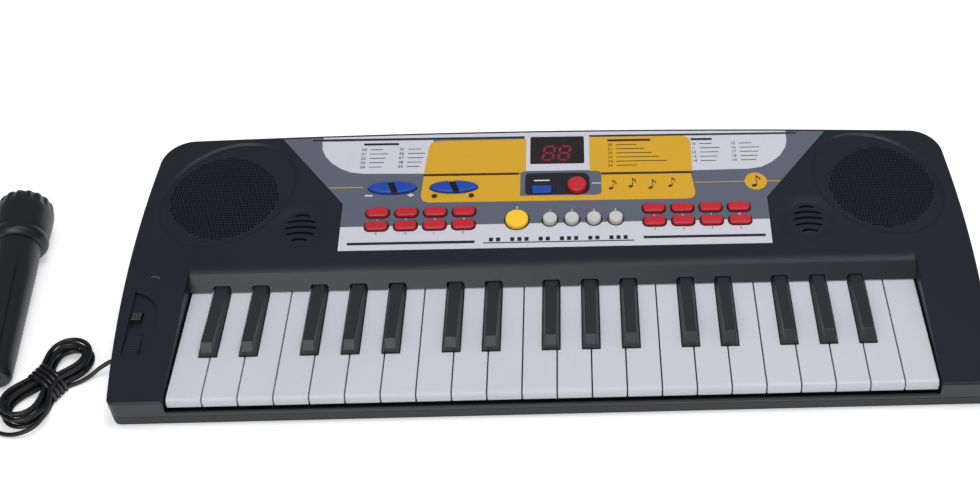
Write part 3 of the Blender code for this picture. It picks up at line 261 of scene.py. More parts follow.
def mouldedPlastic(name, colour, lighter, roughness, grain, depth, ior=1.53, spread=0.06):
    # Injection-moulded plastic: an eroded mould leaves a fine even grain, with faint cloudy tone
    # colour, lighter: the two tones; grain: size in mm; depth: height of the grain in mm
    material, shader, place = newMaterial(name, roughness, ior)
    cloud = addNode(material, "TexNoise", links={"Vector": place, "Scale": 22.0, "Detail": 3.0})
    tinted(material, shader, cloud.outputs["Fac"], hexColour(colour), hexColour(lighter))
    noise = addNode(material, "TexNoise", links={"Vector": place, "Scale": 1000.0 / grain, "Detail": 2.0})
    wear = addNode(material, "MapRange", links={
        "Value": noise.outputs["Fac"], "From Min": 0.3, "From Max": 0.7,
        "To Min": roughness - spread, "To Max": roughness + spread})
    material.node_tree.links.new(wear.outputs["Result"], shader.inputs["Roughness"])
    embossed(material, shader, noise.outputs["Fac"], 0.6, depth / 1000.0)
    return material


def screenInk(name, colour):
    # Screen-printed ink under a thin satin film: flat colour with a faint orange-peel of 1.5 mm
    material, shader, place = newMaterial(name, 0.42, 1.49)
    peel = addNode(material, "TexNoise", links={"Vector": place, "Scale": 650.0, "Detail": 1.0})
    base = hexColour(colour)
    deeper = tuple(v * 0.93 for v in base[:3]) + (1.0,)
    tinted(material, shader, peel.outputs["Fac"], deeper, base)
    embossed(material, shader, peel.outputs["Fac"], 0.25, 0.00003)
    return material


# Case: high-impact styrene in blue-black, satin grain. Real grain is 0.15 mm, drawn at 0.6 mm to show
caseStyrene = mouldedPlastic("caseStyrene", "#171b25", "#1c212c", 0.42, 0.6, 0.02)
baseStyrene = mouldedPlastic("baseStyrene", "#1a1c20", "#202227", 0.55, 0.9, 0.04)
# White keys: glossy styrene, a cool white that is nearly smooth
keyStyrene = mouldedPlastic("keyStyrene", "#bfc0c9", "#c8c9d1", 0.30, 1.2, 0.003, 1.58, 0.03)
blackKeyStyrene = mouldedPlastic("blackKeyStyrene", "#26282c", "#2c2e33", 0.38, 0.5, 0.012)
# Buttons: ABS, satin, the colour in the plastic
redAbs = mouldedPlastic("redAbs", "#b31d2b", "#be2634", 0.34, 0.7, 0.006)
blueAbs = mouldedPlastic("blueAbs", "#15409e", "#1b49ac", 0.34, 0.7, 0.006)
yellowAbs = mouldedPlastic("yellowAbs", "#eebb2c", "#f6c83c", 0.34, 0.7, 0.006)
blackAbs = mouldedPlastic("blackAbs", "#141519", "#1a1b1f", 0.40, 0.6, 0.01)
microphoneAbs = mouldedPlastic("microphoneAbs", "#171a20", "#1d2026", 0.36, 0.6, 0.012)
greyInk = screenInk("greyInk", "#5b606f")
lightInk = screenInk("lightInk", "#c6c7d1")
yellowInk = screenInk("yellowInk", "#cf9f26")
darkInk = screenInk("darkInk", "#23242b")
brownInk = screenInk("brownInk", "#3b2a12")
whiteInk = screenInk("whiteInk", "#e2e4ec")
# Pale grey ABS with a fleck of aluminium flake; the flake of 0.1 mm is drawn at 0.5 mm to show
flakeAbs = patterned("silverAbs", 0.36, 1.53, "TexVoronoi", {"Scale": 1900.0}, ("#cdcdcc", "#aeaeae"),
                     "Distance")
# Smoked acrylic over a dark mask: deep, glossy, with a warm black below the surface
windowAcrylic = patterned("smokedAcrylic", 0.12, 1.49, "TexNoise", {"Scale": 160.0, "Detail": 2.0},
                          ("#241f22", "#2c2528"))
# Light-emitting segments seen through the smoked window: a dull, even red
segmentRed = patterned("ledRed", 0.5, 1.49, "TexNoise", {"Scale": 400.0}, ("#6f2029", "#7d2832"))
# PVC cord sheath: extruded smooth and glossy, with a faint drag along it
cordVinyl = patterned("vinylSheath", 0.28, 1.53, "TexNoise", {"Scale": 300.0, "Detail": 2.0},
                      ("#0f1012", "#1a1b1e"), relief=(0.3, 0.00005))
# Glass-epoxy board: green mask with the weave of the glass cloth, about 0.7 mm
boardLaminate = patterned("circuitLaminate", 0.45, 1.55, "TexWave", {"Scale": 450.0, "Distortion": 0.5},
                          ("#1f5b34", "#2a6a3d"), settings={"bands_direction": "DIAGONAL"})
# Speaker cone and lacquered basket: pressed black paper, matt, with fibres of about 1 mm
conePaper = patterned("pressedPaper", 0.85, 1.5, "TexNoise", {"Scale": 900.0, "Detail": 2.0},
                      ("#0c0d0f", "#141517"))
print("materials ready")

# Microphone's place: its own Z runs from the tail to the head
mic = {"tailX": -0.3085, "tailSetback": 0.024, "lean": 5.9, "tailRadius": 0.0105, "neckRadius": 0.0125,
       "headRadius": 0.0165, "headAt": 0.100, "neckAt": 0.088, "bootLength": 0.009, "teeth": 16,
       "toothDepth": 0.0009, "handleEnd": 0.0942, "shoulder": 0.078, "footRound": 0.0025,
       "seam": (118, -62), "seamDepth": 0.0005, "steps": 128}


def micPlace():
    tilt = math.asin((mic["headRadius"] - mic["tailRadius"]) / mic["headAt"])
    height = body["tableZ"] + 0.0001 + mic["tailRadius"] / math.cos(tilt)
    return (Matrix.Translation((mic["tailX"], setbackY(mic["tailSetback"]), height))
            @ Matrix.Rotation(math.radians(mic["lean"]), 4, "Z")
            @ Matrix.Rotation(tilt - math.pi / 2, 4, "X"))


# Cord: one limp vinyl lead from the case to the microphone, folded into a hank
cord = {"diameter": 0.0025, "exitSetback": 0.037, "hankX": -0.2800, "hankSetback": 0.0248, "turn": 60,
        "length": 0.062, "layers": 4, "loopsPerLayer": 1.5, "step": 0.0031, "layerStep": 0.00295,
        "waist": 0.0050, "fold": 3.0, "splay": 0.28, "pointsPerLoop": 72, "clearance": 0.0001,
        "spacing": 0.0018, "hole": 0.0032}
# Tie: wraps of the same lead over the hank's waist, tucked under it at both sides
tie = {"wraps": 4, "steps": 28, "halfWidth": 0.0094, "crown": 0.0115, "pitch": 0.0027, "slant": 0.0022}


def hankPoint(turns):
    c = cord
    inner, winding = c["fold"] * c["diameter"], c["loopsPerLayer"] * c["step"]
    straight = c["length"] / 2 - inner - winding - c["diameter"] / 2
    within = turns / c["loopsPerLayer"]
    layer = min(int(within), c["layers"] - 1)
    share = within - layer
    radius = inner + winding * (share if layer % 2 else 1 - share)
    height = 0.0
    for climb in range(1, c["layers"]):  # level in a layer, climbing round each reversal
        rise = min(max((turns - climb * c["loopsPerLayer"]) / 0.5 + 0.5, 0.0), 1.0)
        height += c["layerStep"] * rise * rise * (3 - 2 * rise)
    part = (turns % 1.0) * 8
    if part < 1:
        along, across = -straight * part, radius
    elif part < 3:
        angle = (part - 1) * math.pi / 2
        along, across = -straight - radius * math.sin(angle), radius * math.cos(angle)
    elif part < 5:
        along, across = straight * (part - 4), -radius
    elif part < 7:
        angle = (part - 5) * math.pi / 2
        along, across = straight + radius * math.sin(angle), -radius * math.cos(angle)
    else:
        along, across = straight * (8 - part), radius
    if abs(along) < straight:
        across -= math.copysign(c["waist"] * math.cos(math.pi * along / (2 * straight)) ** 2, across)
    return Vector((across, along, height))


def smoothRoute(chosen, spacing):
    ends = [chosen[0] * 2 - chosen[1]] + chosen + [chosen[-1] * 2 - chosen[-2]]
    fine = []
    for i in range(1, len(ends) - 2):
        a, b, c, d = ends[i - 1:i + 3]
        for step in range(24):
            t = step / 24
            fine.append(((2 * b) + (c - a) * t + (2 * a - 5 * b + 4 * c - d) * t * t
                         + (3 * b - a - 3 * c + d) * t ** 3) / 2)
    fine.append(ends[-2])
    points, travelled = [fine[0]], 0.0
    for before, after in zip(fine, fine[1:]):
        travelled += (after - before).length
        if travelled >= spacing:
            points.append(after)
            travelled = 0.0
    if (points[-1] - fine[-1]).length > spacing / 3:
        points.append(fine[-1])
    return points


def tiePoint(wrap, share):
    angle = math.pi * share
    along = (wrap - (tie["wraps"] - 1) / 2) * tie["pitch"] + tie["slant"] * (share - 0.5)
    across = tie["halfWidth"] * math.copysign(abs(math.cos(angle)) ** 0.75, math.cos(angle))
    return Vector((across, along, tie["crown"] * math.sin(angle) ** 0.8))


def makeLead(name, lines):
    # Round vinyl lead along each line of points
    curve = bpy.data.curves.new(name, "CURVE")
    curve.dimensions = "3D"
    curve.bevel_depth = cord["diameter"] / 2
    curve.bevel_resolution = 3
    curve.use_fill_caps = True
    for points in lines:
        spline = curve.splines.new("POLY")
        spline.points.add(len(points) - 1)
        for spot, point in zip(spline.points, points):
            spot.co = (*point, 1)
        spline.use_smooth = True
    curve.materials.append(cordVinyl)
    piece = newObject(name, curve)
    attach(piece, "case")
    return piece


def makeCord():
    c, gap = cord, body["gap"]
    lineZ = body["tableZ"] + c["clearance"] + c["diameter"] / 2
    place = (Matrix.Translation((c["hankX"], setbackY(c["hankSetback"]), lineZ))
             @ Matrix.Rotation(math.radians(c["turn"]) - math.pi / 2, 4, "Z"))
    total = c["layers"] * c["loopsPerLayer"]
    count = int(total * c["pointsPerLoop"])
    hank = [hankPoint(total * i / count) for i in range(count + 1)]
    splay = Vector((c["splay"], 1, 0)).normalized() * c["diameter"]
    hank = [hank[0] + splay] + hank + [hank[-1] + Vector((splay.x, -splay.y, 0))]
    meet = c["diameter"] + gap
    rise = body["partingZ"] - lineZ
    out = place.inverted().to_3x3() @ Vector((-1, 0, 0))
    exitPoint = Vector((-body["halfFront"] - body["sideBow"], setbackY(c["exitSetback"]), body["partingZ"]))
    leave = place.inverted() @ exitPoint
    # Way points in the hank's frame: from inside the case to the hank, and from the hank to the boot
    ahead = (hank[0] - hank[1]).normalized()
    start = hank[0] + ahead * gap
    lead = [leave - out * 0.018, leave - out * 0.009, leave, leave + out * 0.004,
            Vector((0.0176, 0.0208, rise * 0.60)), Vector((0.0151, 0.0158, rise * 0.22)),
            Vector((0.0122, 0.0105, 0.0002)), start + ahead * meet, start]
    onward = (hank[-1] - hank[-2]).normalized()
    finish = hank[-1] + onward * gap
    micIn = place.inverted() @ micPlace()
    boot = micIn @ Vector((0, 0, -mic["bootLength"] - gap))
    into = (micIn.to_3x3() @ Vector((0, 0, -1))).normalized()
    tail = [finish, finish + onward * meet, Vector((0.0136, -0.0112, 0.0083)),
            Vector((0.0164, -0.0178, 0.0064)), Vector((0.0152, -0.0258, 0.0036)),
            Vector((0.0090, -0.0322, 0.0012)), Vector((0.0010, -0.0354, 0.0)),
            Vector((-0.0075, -0.0350, 0.0006)), boot + into * 0.008, boot + into * meet, boot]
    route = smoothRoute(lead, c["spacing"])[:-1] + hank + smoothRoute(tail, c["spacing"])[1:]
    points = [place @ point for point in route]
    piece = makeLead("cordLine", [points])
    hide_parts("cord_lead", "cord_hank", "cord_tail")
    knot = makeLead("hankTie", [[place @ tiePoint(wrap, i / tie["steps"]) for i in range(tie["steps"] + 1)]
                                for wrap in range(tie["wraps"])])


makeCord()

# Keys: 22 white, 15 black, hinged on a barrel behind the ridge
keys = {"pitch": 0.019, "count": 22, "gap": 0.0007, "topZ": 0.0165, "skirt": 0.0055, "lip": 0.0030,
        "edge": 0.0004, "wall": 0.0014, "blackWidth": 0.0094, "blackFront": 0.030, "blackRise": 0.0074,
        "rearRise": 0.0030, "blackLip": 0.0025, "lipRun": 0.0003, "facet": 0.0044, "flare": 0.26,
        "flareHeight": 0.0023, "lean": 0.08, "blackEdge": 0.0006, "ridgeFoot": 0.0768,
        "blackBottomZ": 0.011767, "notchGap": 0.0005, "hingeSetback": 0.092, "hingeZ": 0.0132,
        "barrel": 0.0018, "web": 0.0022, "bodyEnd": 0.088,
        "offGap": {0: -0.0015, 1: 0.0015, 3: -0.0033, 4: 0.0, 5: 0.0033}}
keyHalf = keys["pitch"] * keys["count"] / 2
blackX = {gap: -keyHalf + keys["pitch"] * (gap + 1) + keys["offGap"][gap % 7]
          for gap in range(keys["count"] - 1) if gap % 7 in keys["offGap"]}


def keyTail(bm, left, right, start):
    reach = math.sqrt(keys["barrel"] ** 2 - (keys["web"] / 2) ** 2)
    opening = math.degrees(math.atan2(keys["web"] / 2, -reach))
    ring = arc((setbackY(keys["hingeSetback"]), keys["hingeZ"]), keys["barrel"], opening, -opening, 16)
    y = setbackY(start)
    prism([(y, keys["hingeZ"] + keys["web"] / 2)] + ring + [(y, keys["hingeZ"] - keys["web"] / 2)],
          left, right, alongX, bm)


def makeWhiteKey(index):
    k = keys
    half = (k["pitch"] - k["gap"]) / 2
    middle = -keyHalf + k["pitch"] * (index + 0.5)
    left, right = middle - half, middle + half
    notch = k["blackWidth"] / 2 + k["notchGap"]
    rearLeft = blackX[index - 1] + notch if index - 1 in blackX else left
    rearRight = blackX[index] - notch if index in blackX else right
    front, shoulder, rear = (setbackY(s) for s in (0, k["blackFront"] - k["notchGap"], k["bodyEnd"]))
    points = [(left, front), (right, front)]
    if rearRight < right:
        points += [(right, shoulder), (rearRight, shoulder)]
    points += [(rearRight, rear), (rearLeft, rear)]
    if rearLeft > left:
        points += [(rearLeft, shoulder), (left, shoulder)]
    low = k["topZ"] - k["skirt"]
    bm = prism(points, low, k["topZ"])
    lip = [e for e in bm.edges
           if all(v.co.y < front + 1e-6 and v.co.z > k["topZ"] - 1e-6 for v in e.verts)]
    bevelled(bm, lip, k["lip"], 6)
    sharp = [e for e in bm.edges if e.calc_face_angle(0) > 0.6 and any(v.co.z > low + 1e-5 for v in e.verts)]
    bevelled(bm, sharp, k["edge"], 2)
    keyTail(bm, rearLeft, rearRight, k["bodyEnd"] - k["wall"] / 2)
    node = "white_key_%02d" % (index + 1)
    newPiece("whiteKey%02d" % (index + 1), bm, keyStyrene, node, [node])


def blackTopZ(setback):
    # The top slopes down from its front end to the ridge
    front = keys["blackFront"] + keys["facet"]
    share = (setback - front) / (keys["ridgeFoot"] - front)
    return keys["topZ"] + keys["blackRise"] + (keys["rearRise"] - keys["blackRise"]) * share


def makeBlackKey(number, x):
    k = keys
    front, rear = k["blackFront"], k["bodyEnd"] - 0.002
    profile = [(front, k["blackBottomZ"]), (front, k["topZ"]),
               (front + k["lipRun"], k["topZ"] + k["blackLip"]),
               (front + k["facet"], k["topZ"] + k["blackRise"]), (rear, blackTopZ(rear)),
               (k["bodyEnd"], k["topZ"]), (k["bodyEnd"], k["blackBottomZ"])]
    half = k["blackWidth"] / 2
    bm = prism([(setbackY(s), z) for s, z in profile], -half, half, alongX)
    sharp = [e for e in bm.edges if e.calc_face_angle(0) > 0.3
             and all(v.co.z > k["topZ"] - 1e-5 for v in e.verts)]
    bevelled(bm, sharp, k["blackEdge"], 4)
    for height in (0, k["flareHeight"]):
        bmesh.ops.bisect_plane(bm, geom=bm.verts[:] + bm.edges[:] + bm.faces[:],
                               plane_co=(0, 0, k["topZ"] + height), plane_no=(0, 0, 1))
    for v in bm.verts:  # flared foot with steeper sides above it
        rise = max(v.co.z - k["topZ"], 0)
        upper = max(rise - k["flareHeight"], 0) / (k["blackRise"] - k["flareHeight"])
        v.co.x *= 1 - k["flare"] * min(rise / k["flareHeight"], 1) - k["lean"] * upper
    keyTail(bm, -half, half, k["bodyEnd"] - 0.0005)
    bmesh.ops.translate(bm, vec=(x, 0, 0), verts=bm.verts)
    node = "black_key_%02d" % (number + 1)
    newPiece("blackKey%02d" % (number + 1), bm, blackKeyStyrene, node, [node])


for index in range(keys["count"]):
    makeWhiteKey(index)
for number, x in enumerate(sorted(blackX.values())):
    makeBlackKey(number, x)
print("keys made")

# Panel and what passes through it; places are X and setback, sizes in metres
panel = {"thickness": 0.0012, "halfRear": 0.1686, "halfWaist": 0.1271, "halfFront": 0.1269, "waist": 0.1327,
         "front": 0.0972, "rearSetback": 0.1880, "holeGap": 0.0004}
buttons = {
    "redSize": (0.0130, 0.0064, 0.0020), "redCorner": 0.0026, "redStep": (0.0170, 0.0100),
    "redSetback": 0.1199, "redLeft": -0.0803, "redRight": 0.0837, "silverRadius": 0.0042,
    "silverHeight": 0.0034, "silverStep": 0.0130, "silverX": 0.0157, "silverSetback": 0.1174,
    "drum": (-0.0234, 0.1178, 0.0068, 0.0027), "stop": (0.0124, 0.1433, 0.0058, 0.0036),
    "demo": (-0.0088, 0.1408, 0.0118, 0.0056, 0.0014), "demoCorner": 0.0009,
    "rockerSize": (0.0288, 0.0092, 0.0022), "rockerSetback": 0.1440, "rockerFoot": -0.0036,
    "rockers": {"volume_rocker": -0.0985, "tempo_rocker": -0.0617}, "notchHalf": 0.0018, "notchSlant": 22,
    "barSize": (0.0270, 0.0086, 0.0010), "display": (0.0006, 0.1730, 0.0326, 0.0220),
    "displayCorner": 0.0007, "webTop": -0.0035, "webThick": 0.0012}


def redCentres(middle):
    return [(middle + buttons["redStep"][0] * (column - 1.5),
             upSlope(buttons["redSetback"]) + buttons["redStep"][1] * (row - 0.5))
            for row in range(2) for column in range(4)]


def silverCentres():
    return [(buttons["silverX"] + buttons["silverStep"] * (i - 1.5), upSlope(buttons["silverSetback"]))
            for i in range(4)]


def capOutlines(grow=0.0):
    # Every cap's outline in surface coordinates, by the node that it belongs to
    b = buttons
    red = (b["redSize"][0] + 2 * grow, b["redSize"][1] + 2 * grow, b["redCorner"] + grow, 6)
    wide = 2 * (b["silverRadius"] + grow)
    outlines = {"red_buttons_left": [roundedBox(*red, c) for c in redCentres(b["redLeft"])],
                "red_buttons_right": [roundedBox(*red, c) for c in redCentres(b["redRight"])],
                "grey_buttons": [oval(wide, wide, 40, c) for c in silverCentres()]}
    for name in ("drum", "stop"):
        x, setback, radius = b[name][:3]
        wide = 2 * (radius + grow)
        outlines[name + "_button"] = [oval(wide, wide, 48, (x, upSlope(setback)))]
    x, setback, width, depth = b["demo"][:4]
    outlines["demo_button"] = [roundedBox(width + 2 * grow, depth + 2 * grow, b["demoCorner"] + grow, 4,
                                          (x, upSlope(setback)))]
    width, depth = b["rockerSize"][:2]
    for name, x in b["rockers"].items():
        outlines[name] = [oval(width + 2 * grow, depth + 2 * grow, 64, (x, upSlope(b["rockerSetback"])))]
    return outlines


def displayOutline(grow=0.0):
    x, setback, width, depth = buttons["display"]
    return roundedBox(width + 2 * grow, depth + 2 * grow, buttons["displayCorner"] + grow, 4,
                      (x, upSlope(setback)))


def panelOutline(grow=0.0):
    p = panel
    rear, waist, front = (upSlope(p[k]) for k in ("rearSetback", "waist", "front"))
    span = body["halfRear"] - body["cornerRear"]
    half = [(p["halfFront"] + grow, front - grow), (p["halfWaist"] + grow, waist + 0.35 * grow)]
    for i in range(12, -1, -1):
        x = (p["halfRear"] + grow) * i / 12
        half.append((x, rear + grow - body["rearBow"] * (x / span) ** 2))
    return half + [(-x, y) for x, y in reversed(half[:-1])]


def panelHoles():
    bm = bmesh.new()
    outlines = [o for group in capOutlines(panel["holeGap"]).values() for o in group]
    for outline in outlines + [displayOutline(body["gap"])]:
        prism(outline, -0.004, 0.004, surface, bm)
    return bm


def makePanelBase():
    bm = combined(prism(panelOutline(), -panel["thickness"], 0, surface), [panelHoles()])
    newPiece("panelBase", bm, greyInk, "case", ["control_panel"])
    bm = bevelTop(prism(displayOutline(), -panel["thickness"], 0.0001, surface), 0.0002, 2, surface)
    newPiece("displayWindow", bm, windowAcrylic, "case", ["display_window"])


makePanelBase()


def roundedOutline(corners, steps=8):
    # Corners are (x, setback) or (x, setback, radius) in millimetres; gives surface coordinates
    flat = [Vector((x / 1000, upSlope(setback / 1000))) for x, setback, *radius in corners]
    points = []
    for i, (x, setback, *radius) in enumerate(corners):
        here, before, after = flat[i], flat[i - 1], flat[(i + 1) % len(flat)]
        if not radius:
            points.append(tuple(here))
            continue
        a, b = (before - here).normalized(), (after - here).normalized()
        turn = math.acos(max(-1, min(1, a.dot(b))))
        reach = radius[0] / 1000 / math.tan(turn / 2)
        first, last = here + a * reach, here + b * reach
        for step in range(steps + 1):
            t = step / steps
            points.append(tuple(first * (1 - t) ** 2 + here * 2 * t * (1 - t) + last * t * t))
    return points


def ink(name, outlines, material, layer=1, holes=False):
    bm = bmesh.new()
    for outline in outlines:
        prism(outline, 0.00002 * layer - 0.00001, 0.00002 * layer + 0.00001, surface, bm)
    if holes:
        bm = combined(bm, [panelHoles()], weld=1e-7)
    newPiece(name, bm, material, "case")


def rule(x0, x1, setback, width):
    # A straight bar along X, in millimetres
    y, half = upSlope(setback / 1000), width / 2000
    return [(x / 1000, y + side) for x, side in ((x0, -half), (x1, -half), (x1, half), (x0, half))]


def rearEdge(fromX, toX, steps=12):
    span = body["halfRear"] - body["cornerRear"]
    edge = upSlope(panel["rearSetback"])
    return [(x, edge - body["rearBow"] * (x / span) ** 2)
            for x in (fromX + (toX - fromX) * i / steps for i in range(steps + 1))]


def makePrint():
    # Printed fields, and dark rings round the caps that are painted shade of their recesses; outlines of x,
    # setback and corner radius in millimetres
    half, low = panel["halfFront"], upSlope(panel["front"]) + 0.0001
    front = [(-half + 0.0002, low), (half - 0.0002, low), (half, upSlope(0.1155)), (-half, upSlope(0.1150))]
    band = [(-0.1440, upSlope(0.1850)), (0.1440, upSlope(0.1850))] + rearEdge(0.1440, -0.1440)
    listLeft = roundedOutline([(-144.3, 182.9), (-143.6, 176.0), (-141.0, 170.5), (-136.8, 165.2),
                               (-131.0, 160.4), (-124.5, 157.4), (-117.0, 156.2), (-76.0, 155.4),
                               (-76.0, 182.9)])
    listRight = roundedOutline([(144.0, 183.4), (78.0, 183.4), (78.0, 154.6), (118.0, 155.2), (126.0, 156.6),
                                (133.0, 160.6), (138.6, 166.0), (142.4, 172.4), (143.8, 178.0)])
    middle = roundedOutline([(-19.6, 184.9), (-19.6, 156.2), (21.4, 156.2), (21.4, 184.9)])
    ink("printLight", [front, band, listLeft, listRight, middle], lightInk, 1, True)
    upperLeft = roundedOutline([(-18.5, 182.6, 1.0), (-78.0, 182.1, 6.5), (-80.4, 154.9), (-18.5, 154.9)])
    upperRight = roundedOutline([(20.4, 183.4), (20.4, 153.9), (83.2, 153.4), (83.6, 183.4, 6.5)])
    lower = roundedOutline([(-80.4, 153.9), (-81.3, 132.6, 6.0), (84.6, 132.2, 6.0), (82.2, 152.6),
                            (20.4, 153.0), (20.4, 136.6), (-21.8, 136.6), (-21.8, 153.9)])
    ink("printYellow", [upperLeft, upperRight, lower], yellowInk, 2, True)
    surround = roundedOutline([(-21.8, 155.9, 3.0), (-21.8, 136.6, 3.5), (27.3, 136.4, 3.5),
                               (27.3, 155.4, 3.0)])
    ink("printSurround", [surround], greyInk, 3, True)
    dark = [roundedOutline([(-18.8, 154.3, 2.6), (-18.8, 137.2, 2.6), (20.2, 137.2, 6.0),
                            (20.2, 154.3, 6.0)]),
            rule(-121.9, -47.8, 102.2, 1.9), rule(51.2, 123.3, 103.3, 1.9),
            rule(-150.5, -19.8, 184.0, 1.2), rule(20.4, 150.5, 184.4, 1.2)]
    ink("printDark", dark, darkInk, 4, True)
    ink("printSplit", [rule(-80.4, -23.0, 154.2, 1.7), rule(27.5, 83.0, 153.2, 1.7)], brownInk, 5)
    # Dark rings round the caps, out beyond their holes: painted shade of the recess each cap sits in, not
    # print
    rings = [o for node, group in capOutlines(0.0009).items() if "rocker" not in node for o in group]
    ink("printRecessShade", rings, darkInk, 5, True)
    thin = [rule(-136.6, -116.0, 145.2, 0.6), rule(84.4, 114.6, 144.9, 0.6), rule(128.3, 136.4, 145.0, 0.6)]
    disc = oval(0.0136, 0.0136, 48, (0.1214, upSlope(0.145)))
    ink("printThin", thin + [disc], yellowInk, 5)


makePrint()


def quaver(x, setback, size):
    # A plain quaver in surface coordinates: slanted head, stem and flag, as shares of its size
    x, y, size = x / 1000, upSlope(setback / 1000), size / 1000
    turns = [2 * math.pi * i / 24 for i in range(24)]
    head = [(0.30 * math.cos(a) - 0.05 * math.sin(a), 0.20 * math.sin(a) + 0.09 * math.cos(a)) for a in turns]
    stem = [(0.24, 0), (0.33, 0), (0.33, 1.5), (0.24, 1.5)]
    flag = [(0.33, 1.5), (0.33, 1.22), (0.62, 0.98), (0.70, 0.62), (0.80, 0.98), (0.62, 1.22)]
    return [[(x + size * across, y + size * up) for across, up in part] for part in (head, stem, flag)]


def addText(bm, text, x, setback, size, align="CENTER", layer=6):
    words = bpy.data.curves.new("marks", "FONT")
    words.body, words.size, words.align_x, words.resolution_u = text, size / 1000, align, 2
    words.extrude = 0.00001
    holder = newObject("marks", words)
    bpy.context.view_layer.update()
    mesh = bpy.data.meshes.new_from_object(holder.evaluated_get(bpy.context.evaluated_depsgraph_get()))
    mesh.transform(onSurface(x / 1000, setback / 1000, 0.00002 * layer))
    bm.from_mesh(mesh)
    bpy.data.objects.remove(holder)
    bpy.data.meshes.remove(mesh)


def numberCaps(bm, row, first, back, size):
    # Plain numbers from 1 to 10 before one row of the red caps
    caps = [c for side in ("redLeft", "redRight") for c in redCentres(buttons[side])[4 * row:4 * row + 4]]
    for i, (x, y) in enumerate(caps):
        setback = (y * math.cos(slope) + body["frontY"] - body["keyFrontY"]) * 1000 - back
        addText(bm, str((first + i) % 10 or 10), x * 1000, setback, size)


def makeMarks():
    # Plain numbers with thin rules behind them, short bars above them, and plain signs by the buttons
    dark, rules = bmesh.new(), []
    for column, first, start, step, jump, kinds in (
            (-119.5, 0, 174.6, 3.55, 7, 4), (-96.5, 5, 174.6, 3.55, 7, 4),
            (83.6, 10, 175.4, 3.5, 5, 6), (108.4, 15, 175.4, 3.5, 5, 6)):
        for row in range(5):
            y = start - step * row
            addText(dark, "%02d" % (first + row), column, y, 3.1, "LEFT")
            rules.append(rule(column + 5.4, column + 13.0 + row * jump % kinds, y + 1.0, 0.5))
    rules += [rule(-118.5, -97.0, 180.0, 1.7), rule(83.8, 97.0, 180.2, 1.7)]
    for gap in range(20):  # a plain row of small piano keys between the two bars
        if gap % 7 not in (2, 6):
            rules.append(rule(-39.5 + gap * 4.15, -37.1 + gap * 4.15, 103.6, 2.8))
    rules.append(rule(-42.8, 45.4, 101.2, 0.7))
    newPiece("listNumbers", dark, darkInk, "case")
    ink("listRules", rules, darkInk, 6)
    brown, rules = bmesh.new(), []
    for row in range(6):
        y = 175.6 - 3.4 * row
        addText(brown, "%02d" % (20 + row), 31.8, y, 3.0, "LEFT")
        rules.append(rule(37.0, 50.0 + (row * 11 % 5) * 4.5, y + 1.0, 0.5))
    rules.append(rule(31.8, 58.5, 180.3, 1.7))
    rules += [oval(0.0034, 0.0034, 24, (x, upSlope(0.1375))) for x in (-0.0731, -0.0510)]
    for number, x in enumerate((33.0, 45.0, 57.0, 69.0)):
        rules += quaver(x, 141.3 + (number % 2) * 1.2, 4.4)
    rules += quaver(120.2, 141.6, 5.4)
    newPiece("songNumbers", brown, brownInk, "case")
    ink("songRules", rules, brownInk, 6)
    pale, low = bmesh.new(), bmesh.new()
    numberCaps(pale, 1, 1, 5.9, 2.2)
    for i, (x, y) in enumerate(silverCentres()):
        addText(pale, str(1 + i), x * 1000, 123.8, 2.6)
    addText(pale, "0", -23.4, 126.6, 2.6)
    newPiece("buttonNumbers", pale, whiteInk, "case")
    numberCaps(low, 0, 9, 6.4, 2.4)
    newPiece("lowerNumbers", low, darkInk, "case")
    signs = [rule(-114.5, -110.0, 138.6, 0.9), rule(-89.0, -85.4, 138.6, 0.9),
             rule(-87.65, -86.75, 138.6, 2.6), rule(21.6, 27.0, 145.6, 0.5), rule(-13.6, -4.0, 148.4, 0.8)]
    ink("paleSigns", signs, whiteInk, 6)


makeMarks()


def makeDigits():
    # Two slanted seven-segment digits, every segment lit; millimetres from each digit's middle
    width, height, thick, lean, setback = 3.1, 5.6, 0.9, 0.14, 0.1705
    segments = [(0, height, True), (0, 0, True), (0, -height, True)]
    segments += [(x, y, False) for y in (height / 2, -height / 2) for x in (-width, width)]
    bm = bmesh.new()
    for middle in (-4.6, 5.0):
        for x, y, flat in segments:
            reach = (width if flat else height / 2) - 0.35
            shape = [(-reach, 0), (-reach + thick, thick), (reach - thick, thick), (reach, 0),
                     (reach - thick, -thick), (-reach + thick, -thick)]
            spots = [(x + (a if flat else b), y + (b if flat else a)) for a, b in shape]
            prism([((middle + a + lean * b) / 1000, upSlope(setback) + b / 1000) for a, b in spots],
                  0.00011, 0.00013, surface, bm)
    newPiece("displayDigits", bm, segmentRed, "case")


makeDigits()
print("panel and print made")


def coverBox(outlines, margin, low, high, bm=None):
    # A box over the extent of some outlines, in surface coordinates
    xs, ys = zip(*(point for outline in outlines for point in outline))
    return box((min(xs) - margin, min(ys) - margin, low), (max(xs) + margin, max(ys) + margin, high),
               surface, bm)


